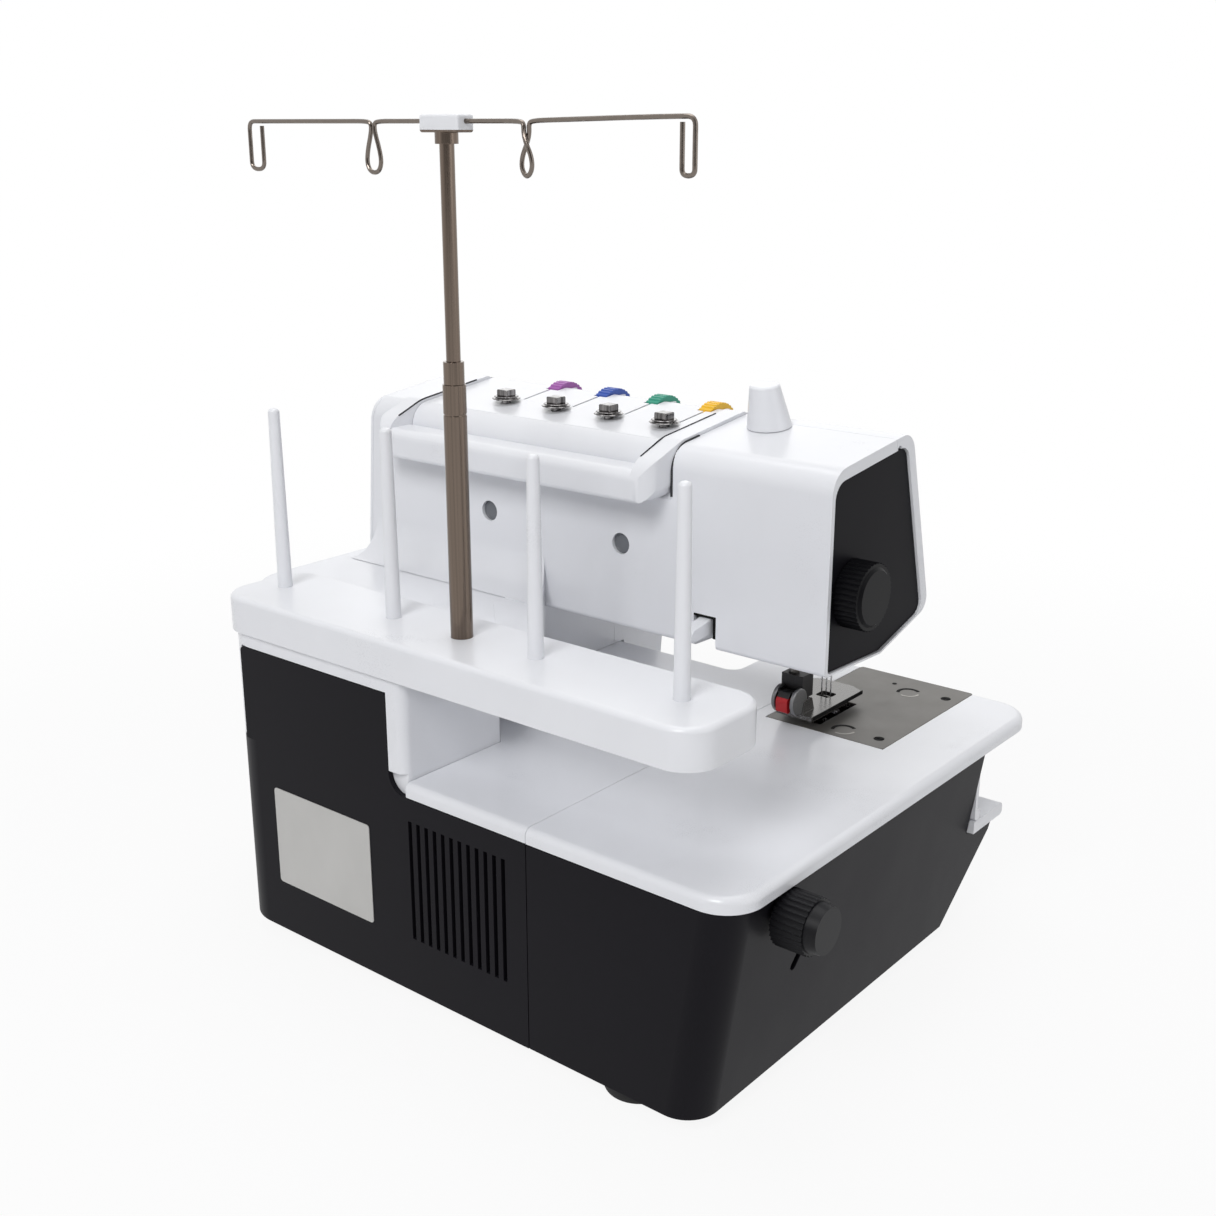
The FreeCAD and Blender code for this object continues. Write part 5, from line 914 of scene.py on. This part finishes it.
@dataclass
class Base:
    """Dark base with its dial, bare plate, feet and right-end fittings."""

    cover_edge: float = 0.5
    dial_edge: float = 0.25
    fitting_edge: float = 0.3
    rubber_edge: float = 1.0
    plate_x: Pair = (229.3, 308.0)
    plate_y: Pair = (-0.2, 0.35)
    plate_z: Pair = (40.2, 99.0)
    plate_corner: float = 2.0

    def build(self, shop: Workshop) -> None:
        """Dress the base and its fittings.

        Args:
            shop: Workshop that makes the pieces.
        """
        for node in ("base_cover_left", "base_cover_right"):
            shop.soften(node, Slot.DARK, self.cover_edge)
        # Face panel and face dial take the darker copies: painted shade.
        shop.soften("face_panel", Slot.DARK, self.cover_edge, finish=FACE_DARK_SHADED)
        shop.soften("side_dial", Slot.BLACK, self.dial_edge)
        shop.soften("face_dial", Slot.BLACK, self.dial_edge, finish=FACE_BLACK_SHADED)
        for node in ("power_inlet", "switch_bezel", "rocker_switch"):
            shop.soften(node, Slot.BLACK, self.fitting_edge)
        shop.soften("rubber_feet", Slot.RUBBER, self.rubber_edge)
        shop.paint("base_pan", Slot.STEEL)
        self.bare_plate(shop)

    def bare_plate(self, shop: Workshop) -> None:
        """Lay a plain foil plate on the rear wall.

        Args:
            shop: Workshop that makes the pieces.
        """
        low, high = (shop.spot(*corner) for corner in zip(self.plate_x, self.plate_y, self.plate_z))
        work = shop.box(low, high)
        half_depth = (high - low).y / 2
        corners = [edge for edge in work.edges if abs((edge.verts[0].co - edge.verts[1].co).y) > half_depth]
        shop.bevel(work, corners, self.plate_corner, segments=5)
        shop.piece(work, "bare_rear_plate", FIXED, Slot.WHITE, BARE_FOIL)


@dataclass(frozen=True)
class YokeHalf:
    """One half of the yoke's wire, in lengths out from the pole, across and up from the bar."""

    side: int
    rise: float
    inner: float
    outer: float
    low: float
    eyelet: tuple[Point, ...]
    straight: tuple[float, ...] = (2.0, 30.0, 46.0)
    slope: tuple[Pair, ...] = ((53.2, 0.1), (70.0, 0.3), (110.0, 0.8))
    bend: float = 8.0
    knee: float = -16.0
    hook: float = 2.2

    def run(self) -> list[Point]:
        """Line from the clip, round the inner eyelet, to the free end of the outer loop.

        Returns:
            Length out, across and up of each control point.
        """
        arm = [(along, share * self.rise) for along, share in self.slope]
        down = [(self.outer, up) for up in (self.rise, self.rise - self.bend, self.knee, self.low)]
        back = [(self.inner, up) for up in (self.low, self.knee, -self.bend, self.rise - self.hook)]
        loop = [(self.outer - self.bend, self.rise), *down, *back]
        start = [(along, 0.0, 0.0) for along in self.straight]
        return [*start, *self.eyelet, *((along, 0.0, up) for along, up in arm + loop)]


TWISTED_HALF = YokeHalf(-1, 1.8, 135.0, 141.5, -21.4, (
    (48.4, 0.3, -1.2), (48.6, 0.8, -5.0), (50.4, 1.2, -9.5), (52.9, 0.6, -15.0), (53.0, 0.2, -20.5),
    (49.6, 0.0, -24.2), (46.2, -0.2, -20.5), (46.3, -0.6, -15.0), (48.8, -1.2, -9.5), (50.6, -0.8, -5.0),
    (50.8, -0.3, -1.2)))
PLAIN_HALF = YokeHalf(1, 0.0, 133.0, 143.0, -23.6, (
    (48.3, 0.2, -1.2), (47.9, 0.4, -5.0), (45.0, 0.3, -13.5), (44.4, 0.1, -19.5), (47.0, 0.0, -23.6),
    (52.2, 0.0, -23.6), (54.8, -0.1, -19.5), (54.2, -0.3, -13.5), (51.3, -0.4, -5.0), (50.9, -0.2, -1.2)))


@dataclass
class ThreadPole:
    """Telescopic pole and the thread yoke bent from one wire."""

    x: float = 183.6
    y: float = -28.8
    bar_z: float = 458.0
    socket_z: float = 454.2
    wire_radius: float = 1.1
    pole_edge: float = 0.25
    clip_edge: float = 0.4

    def build(self, shop: Workshop) -> None:
        """Dress the pole and bend the yoke.

        Args:
            shop: Workshop that makes the pieces.
        """
        for node in ("pole_tube", "pole_ferrule", "pole_rod"):
            shop.soften(node, Slot.POLE, self.pole_edge)
        self.clip(shop)
        halves = [shop.wire(self.spots(shop, half), self.wire_radius) for half in (TWISTED_HALF, PLAIN_HALF)]
        shop.piece(shop.join(halves), "yoke_bent_wire", "yoke", Slot.POLE, WIRE_NICKEL, ["yoke_wire"])

    def clip(self, shop: Workshop) -> None:
        """Split the clip into its white head and the metal socket under it.

        Args:
            shop: Workshop that makes the pieces.
        """
        cut = shop.spot(self.x, self.y, self.socket_z)
        for name, side, slot in (("yoke_clip_head", -1.0, Slot.CLIP), ("yoke_clip_socket", 1.0, Slot.POLE)):
            work = shop.copy("yoke_clip")
            shop.trim(work, cut, Axis.Z.value * side)
            shop.round_off(work, self.clip_edge, segments=3)
            shop.piece(work, name, "yoke", slot, replaced=["yoke_clip"])

    def spots(self, shop: Workshop, half: YokeHalf) -> list[Vector]:
        """Packed-frame places of the control points of one half of the wire."""
        return [shop.spot(self.x + half.side * along, self.y + across, self.bar_z + up)
                for along, across, up in half.run()]


@dataclass
class TensionBank:
    """Four colour tension wheels and the chrome thread guides behind them."""

    wheel_edge: float = 0.2
    disc_x: tuple[float, ...] = (182.0, 223.0, 264.0, 305.0)
    disc_y: float = -195.0
    surface_z: float = 291.9
    saucer: Profile = ((0.0, -5.0), (2.9, -5.0), (2.9, 1.4), (5.6, 1.6), (8.4, 2.2), (8.9, 2.6), (8.4, 2.9),
                       (5.6, 2.9), (5.6, 3.3), (7.4, 3.6), (7.7, 3.9), (7.3, 4.2), (4.0, 4.2), (0.0, 4.2))
    cap_half: float = 4.3
    cap_rise: Pair = (3.9, 8.2)
    cap_edge: float = 0.8

    def build(self, shop: Workshop) -> None:
        """Dress the wheels and turn the guides.

        Args:
            shop: Workshop that makes the pieces.
        """
        for colour in (Slot.YELLOW, Slot.GREEN, Slot.BLUE, Slot.PURPLE):
            shop.soften("tension_" + colour.value, colour, self.wheel_edge)
        low = Vector((-self.cap_half, -self.cap_half, self.cap_rise[0])) * MM
        high = Vector((self.cap_half, self.cap_half, self.cap_rise[1])) * MM
        works = []
        for x in self.disc_x:
            foot = shop.spot(x, self.disc_y, self.surface_z)
            works.append(shop.lathe(self.saucer, foot, Axis.Z.value, steps=48))
            works.append(shop.block(foot + low, foot + high, self.cap_edge, segments=4))
        # Guides take the banded chrome: painted reflections.
        shop.piece(shop.join(works), "chrome_thread_guides", FIXED, Slot.CHROME, GUIDE_CHROME_PAINTED_REFLECTION,
                   ["thread_guide_discs"])


@dataclass
class StitchArea:
    """Needle plate, needles, foot and the parts round them."""

    plate_edge: float = 0.2
    bar_edge: float = 0.3
    ankle_edge: float = 1.1
    plate_z: float = 132.0
    # Arcs of the dimples: the dark ones are painted shade on the far wall, the lit ones painted highlight on
    # the near wall.
    mark_x: float = 62.0
    mark_y: Pair = (-282.0, -207.0)
    dark_size: Point = (6.2, 2.0, 0.24)
    lit_size: Point = (6.4, 1.2, 0.2)
    dark_sweep: Pair = (-130.0, 160.0)
    lit_sweep: Pair = (75.0, 110.0)
    hole_spot: Pair = (76.0, -290.3)
    hole: Profile = ((0.0, -0.2), (1.5, -0.2), (1.5, 0.08), (0.0, 0.1))
    sole_edge: float = 0.35
    sole_side: Pair = (110.0, -226.0)
    sole_side_out: Vector = Vector((36.0, 13.0, 0.0))
    sole_rear: float = -193.2
    # Thin dark strip along the sole's edge: painted shadow of the sole on the plate.
    dark_edge: float = 0.25
    dark_low: Point = (74.7, -249.5, 137.7)
    dark_high: Point = (75.3, -195.5, 140.0)
    tab_top: float = 151.2
    tab_edge: float = 0.4
    cheek_x: Pair = (81.8, 93.9)
    cheek_middle: Pair = (-191.6, 148.2)
    cheek: Profile = ((0.0, 0.0), (7.4, 0.0), (8.0, 0.5), (8.0, 1.8), (7.4, 2.3), (0.0, 2.3))

    def build(self, shop: Workshop) -> None:
        """Dress the stitch area and lay painted shade and highlight marks for the finger dimples and the hole
        on the plate.

        Args:
            shop: Workshop that makes the pieces.
        """
        shop.soften("needle_plate", Slot.STEEL, self.plate_edge, finish=PLATE_STEEL)
        shop.soften("plate_screws", Slot.STEEL, self.plate_edge, finish=MARK_DARK)
        for node in ("presser_bar", "needle_bar", "presser_bracket"):
            shop.soften(node, Slot.STEEL, self.bar_edge)
        shop.soften("needle_clamp", Slot.STEEL, self.bar_edge, finish=DARK_STEEL)
        shop.soften("foot_ankle", Slot.STEEL, self.ankle_edge, segments=3, finish=ANKLE_STEEL)
        shop.paint("needles", Slot.CHROME, NEEDLE_NICKEL)
        for node in ("feed_dog", "looper", "looper_shaft"):
            shop.paint(node, Slot.CHROME)
        self.foot(shop)
        self.release(shop)
        self.plate_marks(shop)

    def foot(self, shop: Workshop) -> None:
        """Shape the sole, narrow behind the needles, a dark strip of painted shadow along its edge, and the
        round cheeks beside the release lever.

        Args:
            shop: Workshop that makes the pieces.
        """
        body = shop.body("presser_foot")
        work = shop.copy("presser_foot")
        shop.trim(work, shop.spot(*self.sole_side, self.plate_z), self.sole_side_out.normalized())
        shop.trim(work, shop.spot(0.0, self.sole_rear, self.plate_z), Axis.Y.value)
        shop.round_off(work, self.sole_edge, segments=3)
        shop.piece(work, "presser_sole", body, Slot.CHROME, SOLE_STEEL, ["presser_foot"])
        # Dark strip by the sole: painted shadow.
        strip = shop.block(shop.spot(*self.dark_low), shop.spot(*self.dark_high), self.dark_edge)
        shop.piece(strip, "sole_edge_painted_shadow", body, Slot.STEEL, MARK_DARK)
        cheeks = [shop.lathe(self.cheek, shop.spot(x, *self.cheek_middle), Axis.X.value, steps=40)
                  for x in self.cheek_x]
        shop.piece(shop.join(cheeks), "ankle_cheeks", body, Slot.STEEL, CHEEK_STEEL)

    def release(self, shop: Workshop) -> None:
        """Split the release lever into its red tab and the steel hub above it.

        Args:
            shop: Workshop that makes the pieces.
        """
        cut = shop.spot(0.0, 0.0, self.tab_top)
        for name, side, slot, finish in (("release_tab", 1.0, Slot.RED, None),
                                         ("release_hub", -1.0, Slot.STEEL, ANKLE_STEEL)):
            work = shop.copy("release_lever")
            shop.trim(work, cut, Axis.Z.value * side)
            shop.round_off(work, self.tab_edge, segments=2)
            shop.piece(work, name, shop.body("release_lever"), slot, finish, ["release_lever"])

    def plate_marks(self, shop: Workshop) -> None:
        """Lay arcs of painted shade and painted highlight where the two finger dimples are, and the small
        hole in the plate as painted shade.

        Args:
            shop: Workshop that makes the pieces.
        """
        up = Axis.Z.value
        # Dark arc as painted shade and lighter arc as painted highlight of each dimple.
        for part, (start, sweep), size, finish in (("dark", self.dark_sweep, self.dark_size, MARK_DARK),
                                                   ("lit", self.lit_sweep, self.lit_size, MARK_LIGHT)):
            first = Vector((math.cos(math.radians(start)), math.sin(math.radians(start)), 0.0))
            works = [shop.arc(shop.spot(self.mark_x, y, self.plate_z), up, first, sweep, size)
                     for y in self.mark_y]
            shop.piece(shop.join(works), "plate_dimple_painted_" + part, FIXED, Slot.STEEL, finish)
        # A dark disc for the plate's small hole: painted shade.
        work = shop.lathe(self.hole, shop.spot(*self.hole_spot, self.plate_z), up, steps=24)
        shop.piece(work, "plate_small_hole", FIXED, Slot.STEEL, MARK_DARK)


@dataclass
class Works:
    """Casting, shafts, motor and pins inside the casing."""

    def build(self, shop: Workshop) -> None:
        """Paint the inner parts.

        Args:
            shop: Workshop that makes the pieces.
        """
        shop.paint("main_frame", Slot.CAST)
        shop.paint("shaft_bushes", Slot.BRONZE)
        for node in ("main_shaft", "arm_shaft", "lifter_pin", "handle_pins", "looper_cover_pins",
                     "tension_shafts", "motor"):
            shop.paint(node, Slot.STEEL)
        for node in ("drive_pulley", "motor_pulley"):
            shop.paint(node, Slot.BLACK)
        shop.paint("drive_belt", Slot.RUBBER)


@dataclass(frozen=True)
class Softbox:
    """A square soft lamp: its place and size in metres and its power in watts."""

    name: str
    place: Point
    size: float
    power: float

    def build(self, aim: Vector) -> None:
        """Hang the lamp and turn it to a place.

        Args:
            aim: Place that the lamp looks at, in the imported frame.
        """
        light = bpy.data.lights.new(self.name, "AREA")
        light.shape = "SQUARE"
        light.size = self.size
        light.energy = self.power
        holder = bpy.data.objects.new(self.name, light)
        holder.location = self.place
        holder.rotation_euler = (aim - Vector(self.place)).to_track_quat("-Z", "Y").to_euler()
        bpy.context.scene.collection.objects.link(holder)


@dataclass
class Studio:
    """Pale floor, soft lamps and the camera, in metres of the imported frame."""

    eye: Vector = Vector((-0.5361, 0.6407, 0.4570))
    heading: Vector = Vector((0.6026, -0.7374, -0.3050))
    lens: float = 44.8
    sensor: float = 36.0
    aim: Vector = Vector((0.0, 0.0, 0.18))
    lamps: tuple[Softbox, ...] = (
        Softbox("key_softbox", (-0.5, 1.9, 1.9), 1.0, 32.0),
        Softbox("top_softbox", (0.3, -0.3, 2.2), 1.4, 14.5),
        Softbox("fill_softbox", (-2.0, -0.2, 0.9), 1.2, 4.5),
        Softbox("front_softbox", (1.2, -1.8, 1.3), 1.6, 5.0))
    floor_half: float = 6.0
    floor_colour: Colour = (0.78, 0.78, 0.79)
    floor_glow: float = 0.9
    glow_reach: Pair = (0.35, 1.0)
    white: Colour = (1.0, 1.0, 1.0)
    room_light: float = 0.3
    room_side: Vector = Vector((-0.6, 0.78, 0.18))
    room_shade: float = 0.8
    shade_reach: Pair = (0.45, 0.9)

    def build(self) -> None:
        """Set up the stage."""
        scene = bpy.context.scene
        scene.view_settings.view_transform = "Standard"
        self.floor()
        self.world(scene)
        for lamp in self.lamps:
            lamp.build(self.aim)
        self.camera(scene)

    @staticmethod
    def ray(graph: Graph, kind: str) -> Signal:
        """1 for rays of a kind, such as Camera, and 0 for others."""
        return graph.add("ShaderNodeLightPath", output="Is %s Ray" % kind)

    def backdrop_share(self, graph: Graph) -> Signal:
        """Tell the rays that should see the bright backdrop from the others.

        Args:
            graph: Node tree that gets the nodes.

        Returns:
            1 for rays that see the backdrop, and 0 for light on the object.
        """
        seen = self.ray(graph, "Camera") + self.ray(graph, "Glossy")
        return graph.add("ShaderNodeMath", {"operation": "ADD", "use_clamp": True},
                         {0: seen, 1: self.ray(graph, "Transmission")})

    def floor(self) -> None:
        """Plain pale floor that keeps a soft shadow."""
        work = bmesh.new()
        bmesh.ops.create_grid(work, x_segments=1, y_segments=1, size=self.floor_half)
        mesh = bpy.data.meshes.new("floor")
        work.to_mesh(mesh)
        work.free()
        graph = Graph(bpy.data.materials.new("pale_floor"))
        matt = graph.add("ShaderNodeBsdfDiffuse", None, {"Color": shade(self.floor_colour, 1.0)})
        glow = graph.add("ShaderNodeEmission", None, {"Color": shade(self.white, 1.0), "Strength": 1.0})
        reach = graph.add("ShaderNodeVectorMath", {"operation": "LENGTH"}, {0: graph.place()}, "Value")
        far = reach.step(*self.glow_reach) * (1.0 - self.floor_glow)
        share = self.backdrop_share(graph) * (self.floor_glow + far)
        surface = graph.add("ShaderNodeMixShader", None, {0: share, 1: matt, 2: glow})
        mesh.materials.append(graph.close(surface))
        thing = bpy.data.objects.new("floor", mesh)
        bpy.context.scene.collection.objects.link(thing)

    def world(self, scene: bpy.types.Scene) -> None:
        """Even room light, with a white backdrop for the camera and a dimmer side in reflections.

        Args:
            scene: Scene that is set up.
        """
        graph = Graph(bpy.data.worlds.new("studio_room"))
        heading = graph.add("ShaderNodeTexCoord", output="Generated")
        facing = graph.add("ShaderNodeVectorMath", {"operation": "DOT_PRODUCT"},
                           {0: heading, 1: self.room_side}, "Value")
        dim = facing.step(*self.shade_reach) * self.room_shade * (1.0 - self.ray(graph, "Camera"))
        strength = self.room_light + self.backdrop_share(graph) * (1.0 - dim - self.room_light)
        room = graph.add("ShaderNodeBackground", None,
                         {"Color": shade(self.white, 1.0), "Strength": strength})
        scene.world = graph.close(room, "ShaderNodeOutputWorld")

    def camera(self, scene: bpy.types.Scene) -> None:
        """Camera at the photograph's viewing angle.

        Args:
            scene: Scene that is set up.
        """
        lens = bpy.data.cameras.new("view_camera")
        lens.lens = self.lens
        lens.sensor_width = self.sensor
        holder = bpy.data.objects.new("view_camera", lens)
        holder.location = self.eye
        holder.rotation_euler = self.heading.to_track_quat("-Z", "Y").to_euler()
        scene.collection.objects.link(holder)
        scene.camera = holder


def main() -> None:
    """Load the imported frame, dress every sub-assembly and set the stage."""
    logging.basicConfig(level=logging.INFO, format="%(name)s: %(message)s")
    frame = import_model()
    shop = Workshop(frame)
    Studio().build()
    for kind in (HandleGapShade, RearWall, Casing, Base, ThreadPole, TensionBank, StitchArea, Works):
        kind().build(shop)
        LOG.info("%s is done", kind.__name__)


if __name__ == "__main__":
    main()
